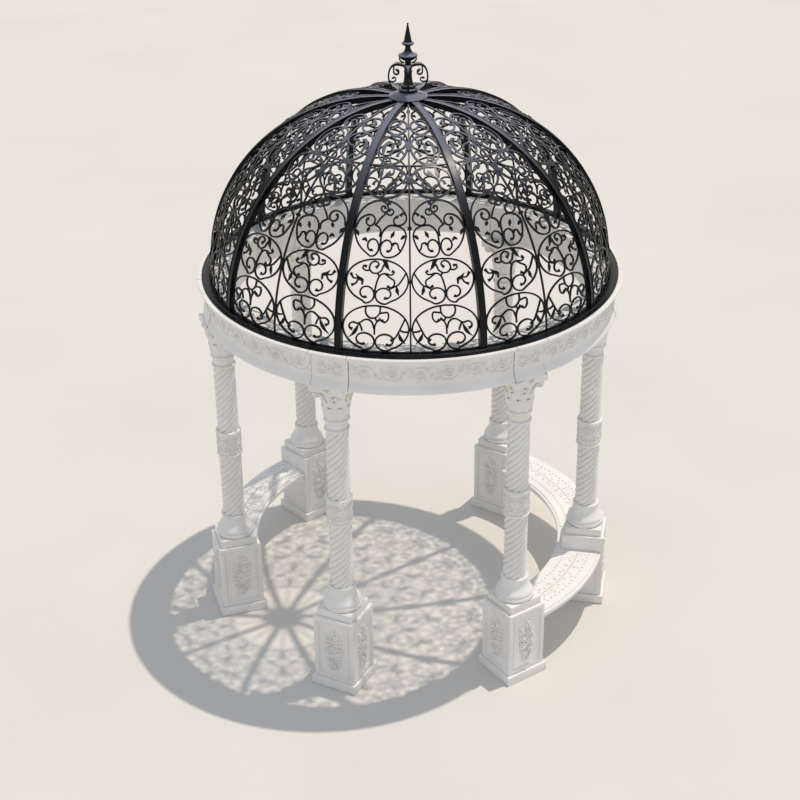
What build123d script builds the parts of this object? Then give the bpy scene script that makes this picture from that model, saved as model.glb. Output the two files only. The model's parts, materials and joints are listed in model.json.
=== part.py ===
from build123d import *
import math
import os

os.makedirs("parts", exist_ok=True)

# Garden gazebo: six carved stone columns on pedestals, a round stone entablature
# and a wrought iron dome of ten ribs. Millimetres, +Z up, floor at Z = 0.
# Azimuths are in degrees from the front (-Y), growing toward +X.

# Plan: azimuth and radius of each column, and the way its pedestal and capital face
COLUMN_PLACES = {
    "left": (-81.6, 1367, -77),
    "front_left": (-26, 1339, -31),
    "front_right": (27.5, 1356, 31),
    "right": (77, 1325, 75),
    "back_right": (141.2, 1310, 141),
    "back_left": (-144.7, 1347, -142),
}
BENCH_BAYS = {
    "left": ("back_left", "left"),
    "right_front": ("front_right", "right"),
    "right_back": ("right", "back_right"),
}

# Pedestal, from the floor up
PLINTH_SIDE = 350
PLINTH_TOP = 70
DIE_SIDE = 312
DIE_TOP = 582
STEP_SIDE = 268
STEP_TOP = 642
PANEL_WIDTH = 240
PANEL_BOTTOM = 104
PANEL_TOP = 548
PANEL_DEPTH = 6
EDGE_CHAMFER = 6

# Turned base over the pedestal: torus, groove, bell-shaped cushion and neck
TORUS_RADIUS = 137
TORUS_HEIGHT = 38
GROOVE_RADIUS = 125
CUSHION_FOOT = 686
CUSHION_RADIUS = 134
CUSHION_BULGE = 732
CUSHION_BULGE_RADIUS = 124
CUSHION_TOP = 786
CUSHION_TOP_RADIUS = 96
BASE_NECK_RADIUS = 84
SHAFT_BOTTOM = 792

# Shaft: two reeded lengths with a carved band between them
LOWER_SHAFT_RADIUS = 82
UPPER_SHAFT_RADIUS = 78
BAND_RADIUS = 85
BAND_BOTTOM = 1318
BAND_TOP = 1528
SHAFT_TOP = 2070
LOWER_BEAD_RADIUS = 97
MIDDLE_BEAD_RADIUS = 94
UPPER_BEAD_RADIUS = 87
BEAD_HEIGHT = 24
REEDS = 9
REED_DEPTH = 6
TWIST_PER_METRE = 820

# Capital
NECK_RADIUS = 74
NECK_TOP = 2118
CAPITAL_RING_RADIUS = 90
CAPITAL_RING_TOP = 2146
BELL_FOOT_RADIUS = 80
BELL_WAIST_RADIUS = 92
BELL_WAIST = 2262
BELL_LIP_RADIUS = 116
BELL_TOP = 2362
ABACUS_SIDE = 260
ABACUS_BITE_RADIUS = 520
ABACUS_BITE = 12
VOLUTE_RADIUS = 27
VOLUTE_WIDTH = 34
VOLUTE_REACH = 138
VOLUTE_SINK = 5

# Entablature ring
RING_BOTTOM = 2409
RING_TOP = 2670
RING_INNER = 1262
FRIEZE_RADIUS = 1450
FILLET_RADIUS = 1462
FILLET_HEIGHT = 16
CORNICE_RADIUS = 1500
CORNICE_HEIGHT = 30
CORNICE_COVE = 34
BLOCK_WIDTH = 230

# Benches
SEAT_TOP = 455
SEAT_THICKNESS = 32
SEAT_NOSE = 13
APRON_THICKNESS = 20
APRON_SETBACK = 16
SEAT_RADII = {"left": (1200, 1504), "right_front": (1122, 1472), "right_back": (1122, 1472)}
HOUSING_DEPTH = 20

# Dome: ribs bent to one arc, level under the crown plate, on a stepped iron ring
DOME_TURN = -4.4
RIB_AZIMUTHS = [19, 58.5, 96, 127.5, 160.5]
RIB_ARC_RADIUS = 1272
RIB_ARC_OUT = 160
RIB_ARC_HEIGHT = 2637
RIB_WIDTH = 46
RIB_DEPTH = 38
IRON_RING_OUTER = 1472
IRON_RING_INNER = 1390
IRON_RING_STEP = 10
IRON_RING_HEIGHT = 16
HUB_RADIUS = 100

# Scroll work grille between the ribs, in six courses
GRILLE_INSET = 14
BAR_DEPTH = 10
RING_BAR_WIDTH = 11
CENTRE_BAR_WIDTH = 9
WELD = 1
RIB_CLEARANCE = 2
COURSE_HEIGHTS = [313, 292, 385, 246, 280, 175]
CROSS_BAR_COURSE = 4
CROSS_BAR_WIDTH = 9
CROSS_BAR_PROUD = 2

# Crown plate
CROWN_RADIUS = 133
CROWN_EDGE = 7
CROWN_HUB_DROP = 46
CROWN_RISE = 40
CROWN_TOP_RADIUS = 48

# Finial: rings, stem with a collar, two caps and a spire
LOWER_RING_RADIUS = 46
LOWER_RING_HEIGHT = 20
UPPER_RING_RADIUS = 38
UPPER_RING_HEIGHT = 16
STEM_RADIUS = 21
STEM_FOOT_RADIUS = 30
COLLAR_RADIUS = 36
COLLAR_BOTTOM = 4092
COLLAR_TOP = 4124
CANOPY_FOOT = 4166
CANOPY_FOOT_RADIUS = 42
CANOPY_RIM = 4190
CANOPY_RADIUS = 65
CANOPY_NECK = 4246
KNOB_FOOT = 4254
KNOB_RIM = 4270
KNOB_RADIUS = 41
KNOB_TOP = 4302
NECK_WIDTH_RADIUS = 18
CAP_EDGE = 7
SPIRE_RADIUS = 24
SPIRE_TIP_RADIUS = 4
TIP_BALL_RADIUS = 7
FINIAL_TIP = 4412

# Scroll brackets round the stem
SCROLL_BAR = 8
SCROLL_WIDTH = 24
SCROLL_SHOULDER = 74
SCROLL_TOP_RADIUS = 54
SCROLL_SIDE_RADIUS = 128
SCROLL_SIDE_TURN = 58
CURL_START = 82
CURL_DROP = 26
CURL_RADIUS = 13
CURL_TURN = 250


def at_column(shape, name):
    """Place a shape drawn with -Y outward on the axis of a column, faced its way."""
    azimuth, radius, facing = COLUMN_PLACES[name]
    return Rot(0, 0, azimuth) * Pos(0, -radius, 0) * Rot(0, 0, facing - azimuth) * shape


def turned(points):
    """Solid of revolution from (radius, height) corners."""
    outline = Polyline([(r, 0, z) for r, z in points], close=True)
    return revolve(make_face(outline), Axis.Z)


def swept(points, start, end):
    """Ring sector from (radius, height) corners between two azimuths."""
    outline = Polyline([(0, -r, z) for r, z in points], close=True)
    sector = revolve(make_face(outline), Axis.Z, end - start)
    return Rot(0, 0, start) * sector


def bead(radius, core, bottom, height):
    """Half-round bead on a core, as a turned outline."""
    half = height / 2
    lower = (core, 0, bottom)
    middle = (radius, 0, bottom + half)
    upper = (core, 0, bottom + height)
    arc = ThreePointArc(lower, middle, upper)
    inner = Polyline([upper, (0, 0, bottom + height), (0, 0, bottom), lower])
    return revolve(make_face(arc + inner), Axis.Z)


# Benches
def bench_slab(first, last, inner, outer):
    """Curved seat slab with a rounded nose over a set-back apron."""
    seat_bottom = SEAT_TOP - SEAT_THICKNESS
    apron_bottom = seat_bottom - APRON_THICKNESS
    seat = swept(
        [
            (inner, seat_bottom),
            (outer, seat_bottom),
            (outer, SEAT_TOP),
            (inner, SEAT_TOP),
        ],
        first,
        last,
    )
    long_edges = seat.edges().filter_by(GeomType.CIRCLE)
    seat = fillet(long_edges, SEAT_NOSE)
    apron = swept(
        [
            (inner + APRON_SETBACK, apron_bottom),
            (outer - APRON_SETBACK, apron_bottom),
            (outer - APRON_SETBACK, seat_bottom),
            (inner + APRON_SETBACK, seat_bottom),
        ],
        first,
        last,
    )
    return seat + apron


def bench(start, end, inner, outer):
    """Seat slab let into two pedestals; where two benches meet it runs on past the pedestal."""
    slab = bench_slab(COLUMN_PLACES[start][0], COLUMN_PLACES[end][0], inner, outer)
    core = DIE_SIDE - 2 * HOUSING_DEPTH
    outward = 2 * DIE_SIDE
    for name in (start, end):
        shared = sum(name in ends for ends in BENCH_BAYS.values()) > 1
        inward = core / 2 if shared else outward
        room = Pos(0, (inward - outward) / 2, 0) * Box(core, inward + outward, 2 * DIE_TOP)
        slab -= at_column(room, name)
    return slab


# Pedestals
def sunk_panel(turn):
    """Cutter for the sunk panel on one face of the die."""
    height = PANEL_TOP - PANEL_BOTTOM
    cutter = Box(PANEL_WIDTH, 2 * PANEL_DEPTH, height)
    middle = (PANEL_TOP + PANEL_BOTTOM) / 2
    return Rot(0, 0, turn) * Pos(0, -DIE_SIDE / 2, middle) * cutter


def column_base():
    """Turned base: torus, groove, cushion swelling to its foot, and neck."""
    torus_top = STEP_TOP + TORUS_HEIGHT
    base = bead(TORUS_RADIUS, GROOVE_RADIUS, STEP_TOP, TORUS_HEIGHT)
    base += turned(
        [(0, torus_top), (GROOVE_RADIUS, torus_top), (GROOVE_RADIUS, CUSHION_FOOT), (0, CUSHION_FOOT)]
    )
    foot = (CUSHION_RADIUS, 0, CUSHION_FOOT)
    bulge = (CUSHION_BULGE_RADIUS, 0, CUSHION_BULGE)
    top = (CUSHION_TOP_RADIUS, 0, CUSHION_TOP)
    swell = ThreePointArc(foot, bulge, top)
    core = Polyline([top, (0, 0, CUSHION_TOP), (0, 0, CUSHION_FOOT), foot])
    base += revolve(make_face(swell + core), Axis.Z)
    neck_height = SHAFT_BOTTOM - CUSHION_TOP
    return base + Pos(0, 0, CUSHION_TOP + neck_height / 2) * Cylinder(BASE_NECK_RADIUS, neck_height)


def pedestal(bench_sides):
    """Plinth, die with sunk panels on its open sides, cap step and turned base."""
    plinth = Pos(0, 0, PLINTH_TOP / 2) * Box(PLINTH_SIDE, PLINTH_SIDE, PLINTH_TOP)
    plinth = chamfer(plinth.faces().sort_by(Axis.Z)[-1].edges(), EDGE_CHAMFER)
    die_height = DIE_TOP - PLINTH_TOP
    die = Pos(0, 0, PLINTH_TOP + die_height / 2) * Box(DIE_SIDE, DIE_SIDE, die_height)
    for turn in (0, 90, 180, 270):
        if turn not in bench_sides:
            die -= sunk_panel(turn)
    step_height = STEP_TOP - DIE_TOP
    step = Pos(0, 0, DIE_TOP + step_height / 2) * Box(STEP_SIDE, STEP_SIDE, step_height)
    step = chamfer(step.faces().sort_by(Axis.Z)[-1].edges(), EDGE_CHAMFER)
    return plinth + die + step + column_base()


# Shafts
def reed_outline(radius):
    """Ring of round reeds meeting in narrow grooves."""
    pitch = 2 * math.pi / REEDS
    groove = radius - REED_DEPTH
    curves = []
    for i in range(REEDS):
        a, b, c = i * pitch, (i + 0.5) * pitch, (i + 1) * pitch
        start = (groove * math.cos(a), groove * math.sin(a))
        middle = (radius * math.cos(b), radius * math.sin(b))
        finish = (groove * math.cos(c), groove * math.sin(c))
        curves.append(ThreePointArc(start, middle, finish))
    return make_face(curves)


def reeded_length(radius, bottom, top):
    """Twisted reeded length, its reeds rising to the right."""
    height = top - bottom
    twist = height / 1000 * TWIST_PER_METRE
    section = reed_outline(radius).face()
    length = Solid.extrude_linear_with_rotation(section, (0, 0, 0), (0, 0, height), twist)
    return Pos(0, 0, bottom) * length


def shaft():
    """Lower and upper reeded lengths, middle band and beads."""
    lower_bottom = SHAFT_BOTTOM + BEAD_HEIGHT
    upper_top = SHAFT_TOP - BEAD_HEIGHT
    band_height = BAND_TOP - BAND_BOTTOM
    whole = bead(LOWER_BEAD_RADIUS, LOWER_SHAFT_RADIUS, SHAFT_BOTTOM, BEAD_HEIGHT)
    whole += reeded_length(LOWER_SHAFT_RADIUS, lower_bottom, BAND_BOTTOM)
    whole += Pos(0, 0, BAND_BOTTOM + band_height / 2) * Cylinder(BAND_RADIUS, band_height)
    whole += bead(MIDDLE_BEAD_RADIUS, BAND_RADIUS, BAND_BOTTOM, BEAD_HEIGHT)
    whole += bead(MIDDLE_BEAD_RADIUS, BAND_RADIUS, BAND_TOP - BEAD_HEIGHT, BEAD_HEIGHT)
    whole += reeded_length(UPPER_SHAFT_RADIUS, BAND_TOP, upper_top)
    whole += bead(UPPER_BEAD_RADIUS, UPPER_SHAFT_RADIUS, upper_top, BEAD_HEIGHT)
    return whole


# Capitals
def abacus():
    """Square top slab with slightly hollowed sides."""
    height = RING_BOTTOM - BELL_TOP
    slab = Box(ABACUS_SIDE, ABACUS_SIDE, height)
    reach = ABACUS_SIDE / 2 - ABACUS_BITE + ABACUS_BITE_RADIUS
    for turn in (0, 90, 180, 270):
        slab -= Rot(0, 0, turn) * Pos(reach, 0, 0) * Cylinder(ABACUS_BITE_RADIUS, height)
    return Pos(0, 0, BELL_TOP + height / 2) * slab


def capital():
    """Neck, ring, flared bell, four corner volutes and abacus."""
    neck = Pos(0, 0, (SHAFT_TOP + NECK_TOP) / 2) * Cylinder(NECK_RADIUS, NECK_TOP - SHAFT_TOP)
    ring = bead(CAPITAL_RING_RADIUS, BELL_FOOT_RADIUS, NECK_TOP, CAPITAL_RING_TOP - NECK_TOP)
    foot = (BELL_FOOT_RADIUS, 0, CAPITAL_RING_TOP)
    waist = (BELL_WAIST_RADIUS, 0, BELL_WAIST)
    lip = (BELL_LIP_RADIUS, 0, BELL_TOP)
    flare = ThreePointArc(foot, waist, lip)
    axis_line = Polyline([lip, (0, 0, BELL_TOP), (0, 0, CAPITAL_RING_TOP), foot])
    bell = revolve(make_face(flare + axis_line), Axis.Z)
    whole = neck + ring + bell + abacus()
    scroll = Rot(90, 0, 0) * Cylinder(VOLUTE_RADIUS, VOLUTE_WIDTH)
    scroll_height = BELL_TOP - VOLUTE_RADIUS + VOLUTE_SINK
    scroll = Pos(VOLUTE_REACH - VOLUTE_RADIUS, 0, scroll_height) * scroll
    for turn in (45, 135, 225, 315):
        whole += Rot(0, 0, turn) * scroll
    return whole


# Entablature
def entablature_outline():
    """Radial section: fillet, frieze, cove and cornice over a plain inner face."""
    cornice_bottom = RING_TOP - CORNICE_HEIGHT
    cove_bottom = cornice_bottom - CORNICE_COVE
    return [
        (RING_INNER, RING_BOTTOM),
        (FILLET_RADIUS, RING_BOTTOM),
        (FILLET_RADIUS, RING_BOTTOM + FILLET_HEIGHT),
        (FRIEZE_RADIUS, RING_BOTTOM + FILLET_HEIGHT + EDGE_CHAMFER),
        (FRIEZE_RADIUS, cove_bottom),
        (FRIEZE_RADIUS + CORNICE_COVE / 3, cove_bottom + CORNICE_COVE / 3),
        (CORNICE_RADIUS - EDGE_CHAMFER, cornice_bottom),
        (CORNICE_RADIUS, cornice_bottom + EDGE_CHAMFER),
        (CORNICE_RADIUS, RING_TOP - EDGE_CHAMFER),
        (CORNICE_RADIUS - EDGE_CHAMFER, RING_TOP),
        (RING_INNER, RING_TOP),
    ]


# Dome
def dome_foot():
    """Level of the iron ring's top, where ribs and grille stand."""
    return RING_TOP + IRON_RING_HEIGHT


def meridian_point(inset, elevation):
    """Radius and height on the rib arc, an inset in from its outer face."""
    bend = RIB_ARC_RADIUS - inset
    e = math.radians(elevation)
    return RIB_ARC_OUT + bend * math.cos(e), RIB_ARC_HEIGHT + bend * math.sin(e)


def foot_elevation(inset):
    """Elevation on the rib arc at the iron ring's top."""
    return math.degrees(math.asin((dome_foot() - RIB_ARC_HEIGHT) / (RIB_ARC_RADIUS - inset)))


def meridian_arc(inset, start, end):
    """Arc in the plane Y = 0 between two elevations."""
    elevations = (start, (start + end) / 2, end)
    points = [meridian_point(inset, elevation) for elevation in elevations]
    return ThreePointArc(*[(r, 0, z) for r, z in points])


def meridian_bar(inset, depth, width, start, end):
    """Curved bar at azimuth 0 between two elevations, run level to the hub from 90 degrees."""
    outer = meridian_arc(inset, start, end)
    inner = meridian_arc(inset + depth, end, start)
    if end < 90:
        joint = [Line(outer @ 1, inner @ 0)]
    else:
        top = (outer @ 1).Z
        joint = [Polyline([outer @ 1, (0, 0, top), (0, 0, top - depth), inner @ 0])]
    outline = make_face([outer, *joint, inner, Line(inner @ 1, outer @ 0)])
    bar = extrude(outline, width / 2, both=True)
    to_foot = (Align.CENTER, Align.CENTER, Align.MIN)
    bar -= Box(4 * CORNICE_RADIUS, width, dome_foot(), align=to_foot)
    bar -= Cylinder(HUB_RADIUS, 2 * FINIAL_TIP)
    return Rot(0, 0, -90) * bar


def on_dome(azimuth, elevation, inset):
    """Plane facing out of the dome, x sideways and y up."""
    radius, height = meridian_point(inset, elevation)
    a = math.radians(azimuth)
    e = math.radians(elevation)
    outward = Vector(math.cos(e) * math.sin(a), -math.cos(e) * math.cos(a), math.sin(e))
    sideways = Vector(math.cos(a), math.sin(a), 0)
    origin = Vector(radius * math.sin(a), -radius * math.cos(a), height)
    return Plane(origin=origin, x_dir=sideways, z_dir=outward)


def oval_reach(level, elevation, half_height, lean, gap):
    """Half width at which an oval touches an upright face beside it."""
    tilt = math.radians(lean)
    room = (level * math.sin(tilt) - gap) / math.cos(tilt)
    slope = math.sin(math.radians(elevation)) * math.tan(tilt)
    return math.sqrt(max(room**2 - (slope * half_height) ** 2, 0))


def ring_pair(elevation, height, half_gore):
    """Two oval rings, each filling the gap between the centre bar and a rib."""
    half_height = height / 2
    level, _ = meridian_point(GRILLE_INSET + BAR_DEPTH, elevation)
    from_bar = CENTRE_BAR_WIDTH / 2 - WELD
    from_rib = RIB_WIDTH / 2 + RIB_CLEARANCE
    low, high = 0, half_gore
    near_enough = math.degrees(WELD / RIB_ARC_RADIUS) / 10
    while high - low > near_enough:
        azimuth = (low + high) / 2
        beside_bar = oval_reach(level, elevation, half_height, azimuth, from_bar)
        beside_rib = oval_reach(level, elevation, half_height, half_gore - azimuth, from_rib)
        if beside_bar < beside_rib:
            low = azimuth
        else:
            high = azimuth
    half_width = beside_bar
    sink = (half_width**2 + half_height**2) / (4 * RIB_ARC_RADIUS)
    oval = Ellipse(half_width, half_height)
    oval -= Ellipse(half_width - RING_BAR_WIDTH, half_height - RING_BAR_WIDTH)
    pair = []
    for side in (-1, 1):
        place = on_dome(side * azimuth, elevation, GRILLE_INSET + BAR_DEPTH / 2 + sink)
        pair.append(extrude(place * oval, BAR_DEPTH / 2, both=True))
    return pair


def cross_bar(start, end, half_gore):
    """Level bar from rib to rib."""
    outer = GRILLE_INSET - CROSS_BAR_PROUD
    inner = GRILLE_INSET + BAR_DEPTH + CROSS_BAR_PROUD
    corners = [(outer, start), (outer, end), (inner, end), (inner, start)]
    section = [meridian_point(inset, elevation) for inset, elevation in corners]
    level = section[2][0]
    reach = half_gore - math.degrees(math.asin((RIB_WIDTH / 2 + RIB_CLEARANCE) / level))
    return swept(section, -reach, reach)


def grille_course(number, half_gore):
    """One course of one gore at azimuth 0: a length of centre bar and two rings."""
    degrees = 180 / math.pi / (RIB_ARC_RADIUS - GRILLE_INSET - BAR_DEPTH / 2)
    start = foot_elevation(GRILLE_INSET + BAR_DEPTH / 2) + sum(COURSE_HEIGHTS[:number]) * degrees
    end = start + COURSE_HEIGHTS[number] * degrees
    ring_start = start
    pieces = []
    if number == CROSS_BAR_COURSE:
        pieces.append(cross_bar(start, start + CROSS_BAR_WIDTH * degrees, half_gore))
        ring_start += (CROSS_BAR_WIDTH - WELD) * degrees
    height = (end - ring_start) / degrees
    pieces.extend(ring_pair((ring_start + end) / 2, height, half_gore))
    bar_start = 0 if number == 0 else start
    bar_end = 90 if number == len(COURSE_HEIGHTS) - 1 else end
    bar = meridian_bar(GRILLE_INSET, BAR_DEPTH, CENTRE_BAR_WIDTH, bar_start, bar_end)
    course = bar.fuse(*pieces)
    size = 2 * CORNICE_RADIUS
    return course & Pos(0, 0, dome_foot() + size) * Box(2 * size, 2 * size, 2 * size)


# Crown and finial
def crown_bottom():
    """Level top of the ribs, where the crown plate rests."""
    return RIB_ARC_HEIGHT + RIB_ARC_RADIUS


def crown():
    """Shallow cone plate over a hub that takes the rib ends."""
    plate_bottom = crown_bottom()
    return turned(
        [
            (0, plate_bottom - CROWN_HUB_DROP),
            (HUB_RADIUS, plate_bottom - CROWN_HUB_DROP),
            (HUB_RADIUS, plate_bottom),
            (CROWN_RADIUS, plate_bottom),
            (CROWN_RADIUS, plate_bottom + CROWN_EDGE),
            (CROWN_TOP_RADIUS, plate_bottom + CROWN_RISE),
            (0, plate_bottom + CROWN_RISE),
        ]
    )


def cap(foot_radius, radius, top_radius, foot, rim, top):
    """Turned cap: flared underside, thin edge and hollow-curved top."""
    edge = (radius, 0, rim + CAP_EDGE)
    shoulder_radius = top_radius + (radius - top_radius) / 3
    shoulder_height = rim + CAP_EDGE + (top - rim - CAP_EDGE) / 3
    shoulder = (shoulder_radius, 0, shoulder_height)
    tip = (top_radius, 0, top)
    hollow = ThreePointArc(edge, shoulder, tip)
    rest = Polyline([tip, (0, 0, top), (0, 0, foot), (foot_radius, 0, foot), (radius, 0, rim), edge])
    return revolve(make_face(hollow + rest), Axis.Z)


def finial():
    """Turned rings, stem with a collar, bell, knob and spire."""
    foot = crown_bottom() + CROWN_RISE
    ring_joint = foot + LOWER_RING_HEIGHT
    stem_foot = ring_joint + UPPER_RING_HEIGHT
    whole = bead(LOWER_RING_RADIUS, STEM_FOOT_RADIUS, foot, LOWER_RING_HEIGHT)
    whole += bead(UPPER_RING_RADIUS, STEM_FOOT_RADIUS, ring_joint, UPPER_RING_HEIGHT)
    whole += turned(
        [
            (0, stem_foot),
            (STEM_FOOT_RADIUS, stem_foot),
            (STEM_RADIUS, stem_foot + STEM_FOOT_RADIUS),
            (STEM_RADIUS, COLLAR_BOTTOM),
            (COLLAR_RADIUS, COLLAR_TOP),
            (STEM_RADIUS, COLLAR_TOP),
            (STEM_RADIUS, CANOPY_FOOT),
            (0, CANOPY_FOOT),
        ]
    )
    canopy_radii = (CANOPY_FOOT_RADIUS, CANOPY_RADIUS, NECK_WIDTH_RADIUS)
    whole += cap(*canopy_radii, CANOPY_FOOT, CANOPY_RIM, CANOPY_NECK)
    neck_height = KNOB_FOOT - CANOPY_NECK
    whole += Pos(0, 0, CANOPY_NECK + neck_height / 2) * Cylinder(NECK_WIDTH_RADIUS, neck_height)
    whole += cap(NECK_WIDTH_RADIUS, KNOB_RADIUS, SPIRE_RADIUS, KNOB_FOOT, KNOB_RIM, KNOB_TOP)
    ball_middle = FINIAL_TIP - TIP_BALL_RADIUS
    spire = [(0, KNOB_TOP), (SPIRE_RADIUS, KNOB_TOP), (SPIRE_TIP_RADIUS, ball_middle), (0, ball_middle)]
    whole += turned(spire)
    whole += Pos(0, 0, ball_middle) * Sphere(TIP_BALL_RADIUS)
    return whole


def finial_scroll():
    """Strap bracket over the collar and down beside the stem, with a hanging curl."""
    top = COLLAR_TOP + SCROLL_BAR / 2
    arm = Line((STEM_RADIUS, top), (SCROLL_SHOULDER, top))
    over = JernArc(arm @ 1, arm % 1, SCROLL_TOP_RADIUS, -90)
    side = JernArc(over @ 1, over % 1, SCROLL_SIDE_RADIUS, -SCROLL_SIDE_TURN)
    outline = trace([arm, over, side], SCROLL_BAR)
    drop = Line((CURL_START, top - SCROLL_BAR), (CURL_START, top - CURL_DROP))
    curl = JernArc(drop @ 1, drop % 1, CURL_RADIUS, -CURL_TURN)
    outline += trace([drop, curl], SCROLL_BAR)
    return extrude(Plane.XZ * outline, SCROLL_WIDTH / 2, both=True)


# Assembly
nodes = {}
bench_sides = {name: [] for name in COLUMN_PLACES}
for bay, (start, end) in BENCH_BAYS.items():
    nodes["bench_" + bay] = bench(start, end, *SEAT_RADII[bay])
    bench_sides[start].append(90)
    bench_sides[end].append(270)

one_shaft = shaft()
one_capital = capital()
for name in COLUMN_PLACES:
    stand = at_column(pedestal(bench_sides[name]), name)
    for bay, ends in BENCH_BAYS.items():
        if name in ends:
            stand -= nodes["bench_" + bay]
    nodes["pedestal_" + name] = stand
    nodes["shaft_" + name] = at_column(one_shaft, name)
    nodes["capital_" + name] = at_column(one_capital, name)

half_block = math.degrees(math.asin(BLOCK_WIDTH / 2 / FRIEZE_RADIUS))
azimuths = {name: place[0] for name, place in COLUMN_PLACES.items()}
by_azimuth = sorted(azimuths, key=azimuths.get)
outline = entablature_outline()
blocks = [swept(outline, azimuths[name] - half_block, azimuths[name] + half_block) for name in by_azimuth]
nodes["entablature_blocks"] = Compound(blocks)
for name, following in zip(by_azimuth, by_azimuth[1:] + by_azimuth[:1]):
    first = azimuths[name] + half_block
    last = azimuths[following] - half_block
    if last < first:
        last += 360
    nodes["beam_after_" + name] = swept(outline, first, last)

ring_middle = RING_TOP + IRON_RING_HEIGHT / 2
nodes["dome_base_ring"] = turned(
    [
        (IRON_RING_INNER, RING_TOP),
        (IRON_RING_OUTER, RING_TOP),
        (IRON_RING_OUTER, ring_middle),
        (IRON_RING_OUTER - IRON_RING_STEP, ring_middle),
        (IRON_RING_OUTER - IRON_RING_STEP, dome_foot()),
        (IRON_RING_INNER, dome_foot()),
    ]
)
rib = meridian_bar(0, RIB_DEPTH, RIB_WIDTH, 0, 90)
rib_azimuths = sorted([DOME_TURN + side * a for a in RIB_AZIMUTHS for side in (-1, 1)])
nodes["dome_ribs"] = Compound([Rot(0, 0, azimuth) * rib for azimuth in rib_azimuths])
gores = list(zip(rib_azimuths, rib_azimuths[1:] + [rib_azimuths[0] + 360]))
for number in range(len(COURSE_HEIGHTS)):
    course = []
    for first, last in gores:
        course.append(Rot(0, 0, (first + last) / 2) * grille_course(number, (last - first) / 2))
    nodes[f"grille_course_{number + 1}"] = Compound(course)
nodes["crown_plate"] = crown()
nodes["finial"] = finial()
turns = [DOME_TURN + quarter for quarter in (0, 90, 180, 270)]
nodes["finial_scrolls"] = Compound([Rot(0, 0, turn) * finial_scroll() for turn in turns])

for name, shape in nodes.items():
    export_step(shape, f"parts/{name}.step")
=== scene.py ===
import json
import math

import bmesh
import bpy
from mathutils import Matrix, Vector

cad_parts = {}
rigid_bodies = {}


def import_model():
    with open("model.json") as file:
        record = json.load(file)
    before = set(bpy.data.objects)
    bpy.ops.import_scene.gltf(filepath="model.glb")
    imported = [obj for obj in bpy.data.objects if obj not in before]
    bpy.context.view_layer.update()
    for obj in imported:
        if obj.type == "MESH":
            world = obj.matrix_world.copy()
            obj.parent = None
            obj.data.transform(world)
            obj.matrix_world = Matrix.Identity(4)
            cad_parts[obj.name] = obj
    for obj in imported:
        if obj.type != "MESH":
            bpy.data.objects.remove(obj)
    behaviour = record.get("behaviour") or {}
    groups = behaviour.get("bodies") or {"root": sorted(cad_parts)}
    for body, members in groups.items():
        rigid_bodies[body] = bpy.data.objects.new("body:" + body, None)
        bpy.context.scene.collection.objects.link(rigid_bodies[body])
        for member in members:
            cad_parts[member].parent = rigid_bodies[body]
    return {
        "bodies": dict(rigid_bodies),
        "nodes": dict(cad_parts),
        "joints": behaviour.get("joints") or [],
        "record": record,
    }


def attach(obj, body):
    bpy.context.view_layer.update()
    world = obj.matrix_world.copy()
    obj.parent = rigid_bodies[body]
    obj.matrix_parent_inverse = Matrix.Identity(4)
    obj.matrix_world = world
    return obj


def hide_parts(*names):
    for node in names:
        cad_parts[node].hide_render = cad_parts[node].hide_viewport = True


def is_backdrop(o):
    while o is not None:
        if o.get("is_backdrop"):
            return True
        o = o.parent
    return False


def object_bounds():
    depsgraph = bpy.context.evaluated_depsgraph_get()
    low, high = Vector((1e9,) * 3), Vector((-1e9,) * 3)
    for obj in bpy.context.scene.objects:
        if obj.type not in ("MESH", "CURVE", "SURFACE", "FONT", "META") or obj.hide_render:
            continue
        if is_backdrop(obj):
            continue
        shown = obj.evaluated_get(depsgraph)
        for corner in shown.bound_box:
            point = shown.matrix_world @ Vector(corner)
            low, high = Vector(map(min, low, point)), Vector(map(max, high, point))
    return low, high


# Garden gazebo: carved white stone columns and entablature, and a wrought iron
# dome of ten ribs filled with scroll work. Metres, +Z up, floor at Z = 0.
# Azimuths are in degrees from the front (-Y), growing toward +X.

# Camera, at the eye of the photograph
CAMERA_PLACE = (-0.8226, -10.5429, 7.3336)
CAMERA_YAW = 4.02
CAMERA_PITCH = 28.55
CAMERA_ROLL = -0.72
CAMERA_LENS = 72.94

# Plan: azimuth and radius of each column, and the way its pedestal and capital face
COLUMN_PLACES = {
    "left": (-81.6, 1.367, -77),
    "front_left": (-26, 1.339, -31),
    "front_right": (27.5, 1.356, 31),
    "right": (77, 1.325, 75),
    "back_right": (141.2, 1.310, 141),
    "back_left": (-144.7, 1.347, -142),
}
BENCH_BAYS = {
    "left": ("back_left", "left"),
    "right_front": ("front_right", "right"),
    "right_back": ("right", "back_right"),
}

# Faces of the stonework that carry carving
DIE_SIDE = 0.312
PANEL_DEPTH = 0.006
PEDESTAL_BLOCKS = [(0.350, 0, 0.070), (DIE_SIDE, 0.068, 0.582), (0.268, 0.580, 0.642)]
PANEL_MARGIN = 0.033
ARRIS = 0.003
BASE_PROFILE = [(0.110, 0.640), (0.129, 0.640), (0.134, 0.645), (0.138, 0.653), (0.138, 0.662)]
BASE_PROFILE += [(0.135, 0.670), (0.129, 0.674), (0.129, 0.680), (0.131, 0.686), (0.130, 0.693)]
BASE_PROFILE += [(0.125, 0.702), (0.117, 0.712), (0.109, 0.724), (0.102, 0.738), (0.097, 0.753)]
BASE_PROFILE += [(0.094, 0.768), (0.092, 0.782), (0.092, 0.794), (0.080, 0.794)]
PANEL_WIDTH = 0.240
PANEL_BOTTOM = 0.104
PANEL_TOP = 0.548
SEAT_TOP = 0.455
SEAT_THICKNESS = 0.052
SEAT_RADII = {"left": (1.200, 1.504), "right_front": (1.122, 1.472), "right_back": (1.122, 1.472)}
REEDS = 9
REED_POINTS = 8
REED_DEPTH = 0.009
REED_STEP = 0.012
TWIST_PER_METRE = 820
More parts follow.
